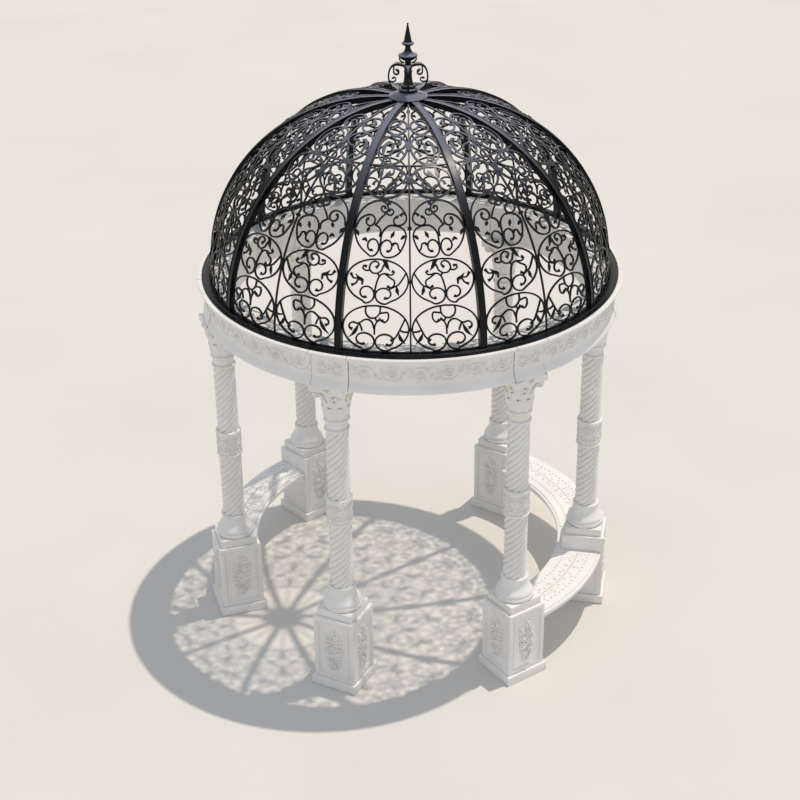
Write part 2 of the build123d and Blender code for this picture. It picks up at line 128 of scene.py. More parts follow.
SHAFT_LENGTHS = [(0.082, 0.814, 1.320), (0.078, 1.526, 2.048)]
BEAD_HEIGHT = 0.024
SHAFT_BEADS = [(0.097, 0.792), (0.094, 1.318), (0.094, 1.504), (0.087, 2.046)]
BAND_RADIUS = 0.085
BAND_BOTTOM = 1.342
BAND_TOP = 1.504
BELL_BOTTOM = 2.146
BELL_RADII = [(2.146, 0.080), (2.262, 0.092), (2.362, 0.116)]
VOLUTE_HEIGHT = 2.336
VOLUTE_REACH = 0.131
VOLUTE_RADIUS = 0.028
VOLUTE_HALF = 0.018
ABACUS_MIDDLE = 2.386
ABACUS_HALF = 0.118

# Entablature: (radius, height) corners of the foot moulding, frieze, cove and cornice
FRIEZE_RADIUS = 1.450
FRIEZE_BOTTOM = 2.492
FRIEZE_TOP = 2.606
FOOT_PROFILE = [(1.262, 2.409), (1.468, 2.409), (1.474, 2.414), (1.474, 2.422), (1.469, 2.436)]
FOOT_PROFILE += [(1.462, 2.451), (1.455, 2.464), (1.451, 2.474), (1.450, 2.486), (1.450, 2.606)]
CORNICE_PROFILE = [(1.452, 2.620), (1.458, 2.633), (1.468, 2.643), (1.481, 2.649), (1.496, 2.650)]
CORNICE_PROFILE += [(1.500, 2.654), (1.500, 2.666), (1.496, 2.670), (1.262, 2.670)]
BLOCK_WIDTH = 0.230
BLOCK_REACH = {"front_left": (0.114, 0.140)}
BLOCK_PROUD = 0.004
BLOCK_DROP = 0.006
RING_PROFILE = [(1.396, 2.668), (1.472, 2.668), (1.472, 2.675), (1.468, 2.679), (1.450, 2.679)]
RING_PROFILE += [(1.446, 2.682), (1.446, 2.684), (1.442, 2.687), (1.396, 2.687)]

# Carving
SINK = 0.003
BEAD_WIDTH = 0.008
JOINT = 0.004
JOINT_DEPTH = 0.006

# Dome: one arc, level inside its start, and the courses of scroll work up it
DOME_TURN = -4.4
RIB_AZIMUTHS = [19, 58.5, 96, 127.5, 160.5]
ARC_OUT = 0.160
ARC_HEIGHT = 2.637
ARC_RADIUS = 1.272
DOME_FOOT = 2.686
RIB_WIDTH = 0.046
HUB_RADIUS = 0.100
GRILLE_MIDDLE = 0.019
COURSE_HEIGHTS = [0.313, 0.292, 0.385, 0.246, 0.280, 0.175]
CROSS_BAR_COURSE = 4
CROSS_BAR_WIDTH = 0.009

# Bars of the scroll work
BAR_DEPTH = 0.010
RING_BAR = 0.014
SCROLL_BAR = 0.011
CENTRE_BAR = 0.011
BAR_STEP = 0.013
SNUB_LENGTH = 0.026
SNUB_WIDTH = 1.9
LEAF_WIDTH = 2.2
WELD = 0.001
FOOT_BAND = 0.006
RIB_EDGE = 0.006

# Finial: (radius, height) corners of the stem's foot
STEM_PROFILE = [(0.020, 3.949), (0.063, 3.949), (0.066, 3.956), (0.065, 3.966), (0.050, 3.972)]
STEM_PROFILE += [(0.052, 3.980), (0.050, 3.990), (0.037, 3.996), (0.032, 4.008), (0.028, 4.030)]
STEM_PROFILE += [(0.026, 4.070), (0.030, 4.088), (0.022, 4.094)]


# Colours and materials
def linear(hex_colour):
    """Linear colour from an sRGB hex value."""
    channels = [int(hex_colour[i : i + 2], 16) / 255 for i in (1, 3, 5)]
    return tuple(c / 12.92 if c <= 0.04045 else ((c + 0.055) / 1.055) ** 2.4 for c in channels) + (1,)


def add(tree, kind, inputs, **settings):
    """Adds a node, sets its settings, and sets or links its inputs."""
    node = tree.nodes.new(kind)
    for name, value in settings.items():
        setattr(node, name, value)
    for name, value in inputs.items():
        if isinstance(value, bpy.types.NodeSocket):
            tree.links.new(value, node.inputs[name])
        else:
            node.inputs[name].default_value = value
    return node


def start_material(name):
    """Empty node material and the place on its object that its patterns read."""
    material = bpy.data.materials.new(name)
    material.use_nodes = True
    tree = material.node_tree
    tree.nodes.clear()
    place = add(tree, "ShaderNodeTexCoord", {}).outputs["Object"]
    return material, tree, place


def finish_material(tree, shader):
    """Links a surface shader to the output."""
    add(tree, "ShaderNodeOutputMaterial", {"Surface": shader.outputs[0]})


def ramp(tree, factor, stops):
    """Colour ramp through (position, hex colour) stops."""
    node = add(tree, "ShaderNodeValToRGB", {"Fac": factor})
    marks = node.color_ramp.elements
    while len(marks) < len(stops):
        marks.new(0.5)
    for mark, (position, colour) in zip(marks, stops):
        mark.position = position
        mark.color = linear(colour)
    return node.outputs["Color"]


def cast_stone():
    """White cast marble, rubbed smooth: faint clouds, fine grain, soft tool marks and painted shade in the hollows."""
    material, tree, place = start_material("cast_stone_rubbed")
    # Clouds in the casting, about 250 mm across
    clouds = add(tree, "ShaderNodeTexNoise", {"Vector": place, "Scale": 4, "Detail": 4, "Roughness": 0.55})
    tone = ramp(tree, clouds.outputs["Fac"], [(0.3, "#ebe8e3"), (0.55, "#f1eeea"), (0.75, "#f6f5f3")])
    # Grain of crushed marble, 4 mm, coarser than the real 1 mm so that it shows
    grain = add(tree, "ShaderNodeTexNoise", {"Vector": place, "Scale": 250, "Detail": 2, "Roughness": 0.6})
    speckle = ramp(tree, grain.outputs["Fac"], [(0.35, "#eceae7"), (0.6, "#ffffff")])
    colour = add(
        tree,
        "ShaderNodeMixRGB",
        {"Fac": 0.5, "Color1": tone, "Color2": speckle},
        blend_type="MULTIPLY",
    )
    # Painted shade in the hollows of the carving, darker within 14 mm of a wall
    hollow = add(tree, "ShaderNodeAmbientOcclusion", {"Distance": 0.014}, samples=8)
    painted_hollow_shade = ramp(tree, hollow.outputs["AO"], [(0.2, "#cbc8c3"), (0.6, "#efedea"), (0.9, "#ffffff")])
    colour = add(
        tree,
        "ShaderNodeMixRGB",
        {"Fac": 0.7, "Color1": colour.outputs[0], "Color2": painted_hollow_shade},
        blend_type="MULTIPLY",
    )
    dust = add(tree, "ShaderNodeTexNoise", {"Vector": place, "Scale": 25, "Detail": 5, "Roughness": 0.65})
    height = add(
        tree,
        "ShaderNodeMath",
        {0: grain.outputs["Fac"], 1: dust.outputs["Fac"]},
        operation="ADD",
    )
    bump = add(
        tree,
        "ShaderNodeBump",
        {"Height": height.outputs[0], "Strength": 0.18, "Distance": 0.002},
    )
    rough = add(
        tree,
        "ShaderNodeMapRange",
        {"Value": dust.outputs["Fac"], "To Min": 0.48, "To Max": 0.68},
    )
    shader = add(
        tree,
        "ShaderNodeBsdfPrincipled",
        {
            "Base Color": colour.outputs[0],
            "Roughness": rough.outputs[0],
            "Specular IOR Level": 0.4,
            "Normal": bump.outputs[0],
        },
    )
    finish_material(tree, shader)
    return material


def mortar():
    """Grey mortar in the thin joints beside the blocks."""
    material, tree, place = start_material("weathered_mortar")
    # Sand in the mortar, 5 mm
    sand = add(tree, "ShaderNodeTexNoise", {"Vector": place, "Scale": 200, "Detail": 2})
    colour = ramp(tree, sand.outputs["Fac"], [(0.3, "#5f5b55"), (0.7, "#8a857d")])
    finish_material(tree, add(tree, "ShaderNodeBsdfPrincipled", {"Base Color": colour, "Roughness": 0.9}))
    return material


def painted_iron():
    """Forged iron under glossy black paint: blue-black, with a painted lavender sky reflection near the crown."""
    material, tree, place = start_material("forged_iron_gloss_paint")
    # Hammer marks about 30 mm across
    marks = add(tree, "ShaderNodeTexNoise", {"Vector": place, "Scale": 33, "Detail": 2, "Roughness": 0.4})
    paint = ramp(tree, marks.outputs["Fac"], [(0.3, "#040609"), (0.7, "#0a0d14")])
    # Painted sky reflection: lavender on faces that look up, from a little above mid-height to the crown
    facing = add(tree, "ShaderNodeSeparateXYZ", {"Vector": add(tree, "ShaderNodeNewGeometry", {}).outputs["Normal"]})
    level = add(tree, "ShaderNodeSeparateXYZ", {"Vector": place})
    upward = add(tree, "ShaderNodeMapRange", {"Value": facing.outputs["Z"], "From Min": 0.45, "From Max": 0.95})
    high = add(tree, "ShaderNodeMapRange", {"Value": level.outputs["Z"], "From Min": 3.45, "From Max": 3.95})
    painted_sky_sheen = add(tree, "ShaderNodeMath", {0: upward.outputs[0], 1: high.outputs[0]}, operation="MULTIPLY")
    colour = add(tree, "ShaderNodeMixRGB", {"Fac": painted_sky_sheen.outputs[0], "Color1": paint, "Color2": linear("#787a8a")})
    colour = colour.outputs[0]
    # Brushed paint, fine runs 3 mm wide
    brush = add(tree, "ShaderNodeTexNoise", {"Vector": place, "Scale": 300, "Detail": 1, "Roughness": 0.5})
    height = add(
        tree,
        "ShaderNodeMath",
        {0: marks.outputs["Fac"], 1: brush.outputs["Fac"]},
        operation="ADD",
    )
    bump = add(
        tree,
        "ShaderNodeBump",
        {"Height": height.outputs[0], "Strength": 0.15, "Distance": 0.002},
    )
    rough = add(
        tree,
        "ShaderNodeMapRange",
        {"Value": marks.outputs["Fac"], "To Min": 0.2, "To Max": 0.36},
    )
    shader = add(
        tree,
        "ShaderNodeBsdfPrincipled",
        {
            "Base Color": colour,
            "Roughness": rough.outputs[0],
            "Normal": bump.outputs[0],
            "Specular IOR Level": 0.2,
        },
    )
    finish_material(tree, shader)
    return material


# Points on the dome
def foot_angle():
    """Elevation on the grille's arc at the iron ring's top."""
    return math.asin((DOME_FOOT - ARC_HEIGHT) / (ARC_RADIUS - GRILLE_MIDDLE))


def dome_place(azimuth, rise, inset=GRILLE_MIDDLE):
    """Point and outward direction at a distance up the dome from its foot."""
    bend = ARC_RADIUS - inset
    crown = bend * (math.pi / 2 - foot_angle())
    elevation = min(foot_angle() + rise / bend, math.pi / 2)
    radius = ARC_OUT + bend * math.cos(elevation) - max(rise - crown, 0)
    height = ARC_HEIGHT + bend * math.sin(elevation)
    a = math.radians(azimuth)
    point = Vector((radius * math.sin(a), -radius * math.cos(a), height))
    flat = math.cos(elevation)
    outward = Vector((flat * math.sin(a), -flat * math.cos(a), math.sin(elevation)))
    return point, outward


def level_at(rise):
    """Radius of the grille at a distance up the dome."""
    point, _ = dome_place(0, rise)
    return -point.y


# Lines in a flat drawing
def wind(centre, reach, start, end, shrink=1.0):
    """Points round an oval between two angles, winding in to a share of its reach."""
    count = max(4, round(abs(end - start) / 20))
    points = []
    for i in range(count + 1):
        share = i / count
        angle = math.radians(start + (end - start) * share)
        size = 1 - (1 - shrink) * share**1.6
        points.append((centre[0] + reach[0] * size * math.cos(angle), centre[1] + reach[1] * size * math.sin(angle)))
    return points


def flowing(points, step, closed=False):
    """Even points on a smooth line through the given ones."""
    knots = [Vector(p) for p in points]
    if closed:
        knots = [knots[-1]] + knots + knots[:2]
    else:
        knots = [2 * knots[0] - knots[1]] + knots + [2 * knots[-1] - knots[-2]]
    line = []
    for before, start, end, after in zip(knots, knots[1:], knots[2:], knots[3:]):
        count = max(1, round((end - start).length / step))
        for i in range(count):
            t = i / count
            line.append(
                0.5
                * (
                    2 * start
                    + (end - before) * t
                    + (2 * before - 5 * start + 4 * end - after) * t**2
                    + (3 * start - before - 3 * end + after) * t**3
                )
            )
    if not closed:
        line.append(knots[-2])
    return line


class Shell:
    """Vertices and faces of one piece while it is being laid out."""

    def __init__(self):
        self.points = []
        self.faces = []

    def bar(self, path, outwards, widths, depth, closed=False):
        """Adds a four-sided bar along a path, its depth along the outward directions."""
        first = len(self.points)
        count = len(path)
        for i, (place, outward) in enumerate(zip(path, outwards)):
            ahead = path[(i + 1) % count] if closed or i + 1 < count else place
            behind = path[i - 1] if closed or i > 0 else place
            side = (ahead - behind).cross(outward).normalized() * widths[i] / 2
            up = outward * depth / 2
            self.points += [place - side - up, place + side - up, place + side + up, place - side + up]
        self.join(first, 4, count, closed)

    def join(self, first, sides, count, closed=False):
        """Adds the faces round a run of equal sections, with ends where it is open."""
        rings = count if closed else count - 1
        for i in range(rings):
            a = first + sides * i
            b = first + sides * ((i + 1) % count)
            for j in range(sides):
                k = (j + 1) % sides
                self.faces.append((a + j, a + k, b + k, b + j))
        if not closed:
            last = first + sides * (count - 1)
            self.faces.append(tuple(range(first + sides - 1, first - 1, -1)))
            self.faces.append(tuple(range(last, last + sides)))

    def ridge(self, place, line, widths, height, crease=1.0):
        """Adds a rounded ridge along a flat line, sunk a little into the stone under it."""
        first = len(self.points)
        widest = max(widths)
        for i, here in enumerate(line):
            ahead = line[min(i + 1, len(line) - 1)]
            behind = line[max(i - 1, 0)]
            along = (ahead - behind).normalized()
            side = Vector((-along.y, along.x)) * widths[i] / 2
            rise = height * math.sqrt(widths[i] / widest)
            for share, lift in ((-1, -SINK), (-0.6, 0.8 * rise), (0, crease * rise), (0.6, 0.8 * rise), (1, -SINK)):
                spot = here + side * share
                self.points.append(place(spot.x, spot.y, lift))
        self.join(first, 5, len(line))

    def leaf(self, place, start, end, width, height, bend=0.0):
        """Adds a pointed leaf with a sunk midrib, bowed sideways by a share of its length."""
        start, end = Vector(start), Vector(end)
        reach = end - start
        aside = Vector((-reach.y, reach.x)) * bend
        count = 6
        line, widths = [], []
        for i in range(count + 1):
            share = i / count
            line.append(start + reach * share + aside * 4 * share * (1 - share))
            widths.append(width * (0.14 + 0.86 * math.sin(math.pi * share**0.8)))
        self.ridge(place, line, widths, height, 0.45)

    def scroll(self, place, points, width, height):
        """Adds a smooth stem through points, tapered at its start and beaded at its end."""
        line = flowing(points, 1.3 * width)
        widths = [width * (0.4 + 0.6 * min(1, 5 * i / len(line))) for i in range(len(line))]
        self.ridge(place, line, widths, height)
        self.boss(place, line[-1], 0.95 * width, 1.3 * height)

    def slab(self, place, left, right, bottom, top, lift):
        """Adds a thin plate that follows the surface under it."""
        first = len(self.points)
        count = 8
        for i in range(count + 1):
            u = left + (right - left) * i / count
            for v, level in ((bottom, -SINK), (top, -SINK), (top, lift), (bottom, lift)):
                self.points.append(place(u, v, level))
        self.join(first, 4, count + 1)

    def turned(self, profile, sides=40):
        """Adds a solid of revolution from (radius, height) corners."""
        first = len(self.points)
        for radius, height in profile:
            for i in range(sides):
                a = 2 * math.pi * i / sides
                self.points.append(Vector((radius * math.cos(a), radius * math.sin(a), height)))
        self.join(first, sides, len(profile))

    def swept(self, profile, first, last):
        """Adds a closed profile turned about the Z axis between two azimuths."""
        start = len(self.points)
        whole = last - first >= 360
        sections = max(2, round(last - first)) + (not whole)
        for i in range(sections):
            a = math.radians(first + (last - first) * i / (sections - (not whole)))
            self.points += [Vector((radius * math.sin(a), -radius * math.cos(a), height)) for radius, height in profile]
        self.join(start, len(profile), sections, whole)

    def drum(self, place, centre, reach, half):
        """Adds a short round drum that stands out on both sides of its place."""
        first = len(self.points)
        sides = 20
        for share, lift in ((0.84, -half), (1, -0.7 * half), (1, 0.7 * half), (0.84, half)):
            for i in range(sides):
                angle = 2 * math.pi * i / sides
                u = centre[0] + share * reach * math.cos(angle)
                v = centre[1] + share * reach * math.sin(angle)
                self.points.append(place(u, v, lift))
        self.join(first, sides, 4)

    def reeds(self, radius, bottom, top):
        """Adds a twisted length of round reeds with narrow grooves between them."""
        first = len(self.points)
        sides = REEDS * REED_POINTS
        steps = round((top - bottom) / REED_STEP)
        for i in range(steps + 1):
            height = bottom + (top - bottom) * i / steps
            twist = math.radians(TWIST_PER_METRE * (height - bottom))
            for j in range(sides):
                a = twist + 2 * math.pi * j / sides
                hollow = 1 - abs(math.sin(math.pi * j / REED_POINTS)) ** 0.6
                reach = radius - REED_DEPTH * hollow
                self.points.append(Vector((reach * math.cos(a), reach * math.sin(a), height)))
        self.join(first, sides, steps + 1)

    def boss(self, place, centre, reach, height, sides=8):
        """Adds a low round button."""
        first = len(self.points)
        for share, lift in ((1, -SINK), (0.85, 0.5 * height), (0.5, 0.9 * height), (0.12, height)):
            for i in range(sides):
                angle = 2 * math.pi * i / sides
                u = centre[0] + share * reach * math.cos(angle)
                v = centre[1] + share * reach * math.sin(angle)
                self.points.append(place(u, v, lift))
        self.join(first, sides, 4)

    def flower(self, place, centre, reach, height, petals=6, turn=0.0):
        """Adds a flower of pointed petals round a button."""
        for i in range(petals):
            angle = turn + 2 * math.pi * i / petals
            ray = Vector((math.cos(angle), math.sin(angle))) * reach
            middle = Vector(centre)
            width = 2.5 * reach * math.sin(math.pi / petals)
            self.leaf(place, middle + 0.2 * ray, middle + ray, width, height)
        self.boss(place, centre, 0.3 * reach, 1.5 * height)

    def piece(self, name, material, slot, *nodes, smooth=0):
        """Makes the piece, gives it its finish and sets it on the body."""
        mesh = bpy.data.meshes.new(name)
        mesh.from_pydata([tuple(p) for p in self.points], [], self.faces)
        mesh.materials.append(material)
        work = bmesh.new()
        work.from_mesh(mesh)
        bmesh.ops.recalc_face_normals(work, faces=work.faces)
        work.to_mesh(mesh)
        work.free()
        made = bpy.data.objects.new(name, mesh)
        bpy.context.scene.collection.objects.link(made)
        settle(made, slot, *nodes, smooth=smooth)
        return made


def settle(made, slot, *nodes, smooth=0):
    """Sets a piece on the body, hides the nodes it stands for and gives it its shading; the slot is not used."""
    if smooth:
        bpy.ops.object.select_all(action="DESELECT")
        made.select_set(True)
        bpy.context.view_layer.objects.active = made
        bpy.ops.object.shade_smooth_by_angle(angle=math.radians(smooth))
    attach(made, "root")
    if nodes:
        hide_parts(*nodes)


def copied(first, name, matrix, slot, *nodes, smooth=0):
    """Copy of a piece with a mesh of its own, moved to its place."""
    made = first.copy()
    made.data = first.data.copy()
    made.name = name
    made.data.name = name
    made.data.transform(matrix)
    bpy.context.scene.collection.objects.link(made)
    settle(made, slot, *nodes, smooth=smooth)
    return made


# Scroll work, drawn in a square from -1 to 1: x from the centre bar to the rib, y up.
# Each stroke is its kind and its points: ring, bar, curl (snubbed at its end) or leaf.
def foot_scrolls():
    """Arch over two lobes, with an S stem between them."""
    return [
        ("curl", wind((0, 0), (1, 1), 90, -66) + wind((0.37, -0.54), (0.36, 0.43), -84, -470, 0.3)),
        ("curl", wind((0, 0), (1, 1), 90, 246) + wind((-0.33, -0.55), (0.36, 0.42), 264, 640, 0.3)),
        ("curl", [(0.03, -0.25), (0.02, 0.1), (-0.05, 0.32), (-0.16, 0.45)]),
        (
            "curl",
            [(0.04, 0), (0.1, 0.27), (0.22, 0.39), (0.35, 0.36), (0.46, 0.24), (0.57, 0.19)]
            + [(0.69, 0.23), (0.8, 0.12), (0.79, -0.03), (0.7, -0.08)],
        ),
        ("leaf", [(0.5, 0.22), (0.58, -0.05), (0.68, -0.27), (0.82, -0.45)]),
        ("bar", [(0.5, 0.22), (0.44, 0.05), (0.4, -0.12)]),
        ("curl", [(-0.88, 0.45), (-0.8, 0.2), (-0.7, -0.1), (-0.6, -0.35), (-0.46, -0.5)]),
        ("leaf", [(-0.69, -0.12), (-0.76, -0.4), (-0.9, -0.62)]),
        ("bar", [(-1, -0.1), (-0.86, -0.1), (-0.72, -0.02)]),
        ("bar", [(-0.14, 0.97), (-0.12, 0.68), (0, 0.49), (0.14, 0.46), (0.27, 0.58), (0.31, 0.78), (0.28, 0.96)]),
        ("curl", [(-0.12, 0.68), (-0.36, 0.72), (-0.38, 0.45), (-0.28, 0.3), (-0.18, 0.4)]),
        ("bar", [(0.02, 0.49), (-0.05, 0.32)]),
    ]


def second_scrolls():
    """Arch over two lobes, with a rosette of curls under the top."""
    return [
        ("curl", wind((0, 0), (1, 1), 90, -64) + wind((0.35, -0.57), (0.3, 0.42), -84, -470, 0.3)),
        ("curl", wind((0, 0), (1, 1), 90, 244) + wind((-0.27, -0.6), (0.33, 0.4), 262, 640, 0.3)),
        ("curl", [(0.05, -0.5), (0.03, -0.2), (-0.07, 0.24), (-0.24, 0.37), (-0.44, 0.31), (-0.54, 0.42), (-0.46, 0.5)]),
        ("curl", [(-0.24, 0.37), (-0.4, 0.2), (-0.55, 0.06), (-0.56, -0.13), (-0.45, -0.26), (-0.33, -0.18)]),
        (
            "curl",
            [(-0.07, 0.24), (0.0, 0.36), (0.14, 0.37), (0.26, 0.54), (0.22, 0.8), (0.07, 0.9), (-0.04, 0.78), (0.06, 0.6)],
        ),
        ("curl", [(0.0, 0.36), (-0.13, 0.5), (-0.18, 0.7), (-0.26, 0.82)]),
        ("curl", [(0.25, 0.5), (0.36, 0.46), (0.48, 0.55), (0.45, 0.68), (0.35, 0.64)]),
        ("leaf", [(-0.34, 0.96), (-0.25, 0.86), (-0.3, 0.68), (-0.4, 0.5)]),
        ("leaf", [(-0.12, 0.98), (-0.25, 0.84), (-0.36, 0.66)]),
        ("bar", [(-0.93, 0.43), (-0.81, 0.13), (-0.68, -0.13), (-0.5, -0.26), (-0.4, -0.34)]),
        ("leaf", [(-0.64, -0.16), (-0.66, -0.4), (-0.72, -0.6)]),
        ("leaf", [(0.47, -0.2), (0.47, 0.02), (0.58, 0.09), (0.7, 0.28)]),
        ("curl", [(0.47, -0.18), (0.5, 0.05), (0.62, 0.1), (0.76, 0.08), (0.87, 0.3)]),
        ("curl", [(0.6, 0.08), (0.68, -0.13), (0.83, -0.24)]),
    ]


def third_scrolls():
    """Tall arch over two lobes, an egg at the bar and a great curl from the rib."""
    return [
        ("curl", wind((0, 0), (1, 1), 90, -62) + wind((0.28, -0.65), (0.28, 0.33), -82, -470, 0.3)),
        ("curl", wind((0, 0), (1, 1), 90, 152) + [(-0.92, 0.3), (-0.82, 0.15)] + wind((-0.62, 0.3), (0.2, 0.2), 262, 450, 0.5)),
        (
            "curl",
            [(-0.4, 0.1), (-0.62, 0.08), (-0.85, -0.03), (-0.97, -0.25), (-0.93, -0.51)]
            + wind((-0.36, -0.4), (0.58, 0.6), 218, 262)
            + wind((-0.3, -0.67), (0.28, 0.33), 278, 640, 0.3),
        ),
        ("bar", [(-0.62, 0.08), (-0.4, 0.11), (-0.24, 0.05), (-0.1, -0.1), (-0.04, -0.28), (-0.03, -0.6)]),
        ("curl", [(-0.87, 0.48), (-0.77, 0.54), (-0.68, 0.44)]),
        ("leaf", [(-0.52, -0.1), (-0.46, -0.22), (-0.4, -0.34)]),
        ("leaf", [(-0.96, -0.24), (-0.88, -0.28), (-0.78, -0.38)]),
        ("curl", [(-0.82, -0.8), (-0.72, -0.68), (-0.68, -0.54), (-0.58, -0.5), (-0.48, -0.57)]),
        (
            "bar",
            [(0.05, 0.97), (-0.12, 0.87), (-0.2, 0.71), (-0.17, 0.57), (-0.07, 0.46), (0.06, 0.32), (0.16, 0.17), (0.23, 0.08)],
        ),
        ("curl", [(-0.18, 0.58), (-0.07, 0.56), (0.05, 0.64), (0.04, 0.77), (-0.07, 0.78), (-0.09, 0.69)]),
        ("curl", [(-0.15, 0.53), (-0.28, 0.46), (-0.4, 0.52), (-0.4, 0.63), (-0.29, 0.68), (-0.22, 0.6)]),
        ("curl", [(0.97, -0.05), (0.84, 0.24), (0.66, 0.39)] + wind((0.45, 0.23), (0.22, 0.22), 80, 430, 0.4)),
        ("curl", [(0.23, 0.1), (0.1, 0.04), (0.01, -0.07), (0, -0.3)]),
        ("leaf", [(0.42, 0.02), (0.47, -0.06), (0.53, -0.16)]),
        ("leaf", [(0.96, -0.1), (0.88, -0.2), (0.83, -0.32)]),
        ("leaf", [(0.48, -0.5), (0.57, -0.4), (0.68, -0.46)]),
        ("leaf", [(-0.3, 0.97), (-0.22, 0.9), (-0.14, 0.8)]),
    ]


def fourth_scrolls():
    """Ring round two small lobes and a branching stem."""
    return [
        ("ring", wind((0, 0), (1, 1), 0, 340)),
        ("curl", [(0.29, -0.97), (0.08, -0.86)] + wind((0.23, -0.55), (0.25, 0.36), 200, -130, 0.4)),
        ("curl", [(-0.06, -0.52), (-0.13, -0.33), (-0.25, -0.22), (-0.38, -0.3), (-0.41, -0.47), (-0.32, -0.58), (-0.24, -0.5)]),
        ("curl", [(0, -0.6), (-0.1, -0.25), (-0.25, -0.03), (-0.42, 0.08), (-0.6, 0.26), (-0.7, 0.52), (-0.62, 0.7)]),
        ("leaf", [(-0.46, -0.4), (-0.47, -0.16), (-0.42, 0.08)]),
        ("curl", [(-0.25, 0.95), (-0.28, 0.66), (-0.2, 0.5), (-0.1, 0.52)]),
        ("leaf", [(-0.1, 0.75), (0.04, 0.45), (0.2, 0.3)]),
        ("leaf", [(0.25, 0.95), (0.33, 0.5), (0.31, 0.1)]),
        ("curl", [(0.31, 0.2), (0.34, -0.12), (0.46, 0.08), (0.58, 0.0), (0.64, -0.2)]),
        ("leaf", [(-0.95, 0.1), (-0.84, -0.02), (-0.74, 0.1)]),
    ]


def fifth_scrolls():
    """Ring round an S scroll and a leaf."""
    return [
        ("ring", wind((0, 0), (1, 1), 0, 340)),
        ("curl", [(-0.92, 0.38), (-0.78, 0.14), (-0.5, 0), (-0.23, -0.04), (0, -0.2), (0.12, -0.42)]),
        ("curl", [(0.12, 0.98), (-0.1, 0.72), (-0.36, 0.66), (-0.5, 0.5), (-0.4, 0.34), (-0.24, 0.4)]),
        ("leaf", [(-0.1, 0.45), (0.02, 0.22), (-0.02, -0.1)]),
        ("leaf", [(0.1, 0.45), (0.32, 0.56), (0.52, 0.36), (0.62, 0.04), (0.6, -0.36), (0.4, -0.7)]),
        ("curl", [(-0.88, -0.36), (-0.66, -0.12), (-0.5, -0.24), (-0.42, -0.46)]),
        ("curl", [(-0.05, -0.97), (0.06, -0.66), (0.24, -0.56), (0.4, -0.68)]),
    ]


def sixth_scrolls():
    """Small ring round a hook and a leaf."""
    return [
        ("ring", wind((0, 0), (1, 1), 0, 340)),
        ("curl", [(-0.9, -0.3), (-0.5, -0.2), (-0.1, 0.1), (0.2, 0.05), (0.3, -0.2)]),
        ("leaf", [(-0.3, 0.85), (-0.1, 0.5), (0.3, 0.4)]),
    ]


COURSE_SCROLLS = [foot_scrolls, second_scrolls, third_scrolls, fourth_scrolls, fifth_scrolls, sixth_scrolls]


def stroke_widths(kind, line):
    """Width of the bar at each point of a stroke."""
    base = RING_BAR if kind == "ring" else SCROLL_BAR
    travelled = [0]
    for start, end in zip(line, line[1:]):
        travelled.append(travelled[-1] + (end - start).length)
    whole = travelled[-1]
    widths = []
    for reached in travelled:
        width = base
        if kind == "curl":
            width *= 1 + (SNUB_WIDTH - 1) * max(0, 1 - (whole - reached) / SNUB_LENGTH)
        if kind == "leaf":
            width *= 0.5 + (LEAF_WIDTH - 0.5) * math.sin(math.pi * reached / whole) ** 2
        widths.append(width)
    return widths


def half_gore_fit(start, end, half_gore):
    """Azimuth, half width and half height of a scroll square between centre bar and rib."""
    middle = (start + end) / 2
    half_height = (end - start) / 2
    radius = level_at(middle)
    bar_edge = math.degrees((CENTRE_BAR / 2) / radius)
    rib_edge = half_gore - math.degrees((RIB_WIDTH / 2 - WELD) / radius)
    azimuth = (bar_edge + rib_edge) / 2
    room = radius * math.radians(rib_edge - bar_edge) / 2
    taper = (level_at(start) - level_at(end)) / (end - start)
    lean = taper * math.radians(azimuth - bar_edge)
    half_width = math.sqrt(max(room**2 - (half_height * lean) ** 2, (room / 2) ** 2))
    return azimuth, half_width, half_height


def lay_stroke(shell, kind, points, gore, side, start, end, half_gore):
    """Bends one stroke of a drawing onto the dome."""
    azimuth, half_width, half_height = half_gore_fit(start, end, half_gore)
    middle = (start + end) / 2
    inner = (1 - (RING_BAR / 2 - WELD) / half_width, 1 - (RING_BAR / 2 - WELD) / half_height)
    flat = [(x * inner[0] * half_width, y * inner[1] * half_height) for x, y in points]
    closed = kind == "ring"
    line = flowing(flat, BAR_STEP, closed)
    path, outwards = [], []
    for x, y in line:
        rise = middle + y
        turn = azimuth + math.degrees(x / level_at(rise))
        place, outward = dome_place(gore + side * turn, rise)
        path.append(place)
        outwards.append(outward)
    depth = BAR_DEPTH if kind != "leaf" else BAR_DEPTH * 0.6
    shell.bar(path, outwards, stroke_widths(kind, line), depth, closed)


def centre_bar(shell, gore, start, end):
    """Length of the flat bar up the middle of a gore."""
    count = max(2, round((end - start) / (2 * BAR_STEP)))
    places = [dome_place(gore, start + (end - start) * i / count) for i in range(count + 1)]
    path = [place for place, _ in places]
    outwards = [outward for _, outward in places]
    shell.bar(path, outwards, [CENTRE_BAR] * len(path), BAR_DEPTH)


def collar(shell, gore, rise):
    """Short thick band that ties the rings to the centre bar."""
    places = [dome_place(gore, rise + reach) for reach in (-BAR_DEPTH, BAR_DEPTH)]
    path = [place for place, _ in places]
    outwards = [outward for _, outward in places]
    shell.bar(path, outwards, [2.4 * CENTRE_BAR] * 2, 1.8 * BAR_DEPTH)


def cross_bar(shell, gore, rise, half_gore):
    """Level bar from rib to rib."""
    reach = half_gore - math.degrees(RIB_WIDTH / 2 / level_at(rise))
    count = 12
    places = [dome_place(gore - reach + 2 * reach * i / count, rise) for i in range(count + 1)]
    path = [place for place, _ in places]
    outwards = [outward for _, outward in places]
    shell.bar(path, outwards, [CROSS_BAR_WIDTH] * len(path), 1.3 * BAR_DEPTH)


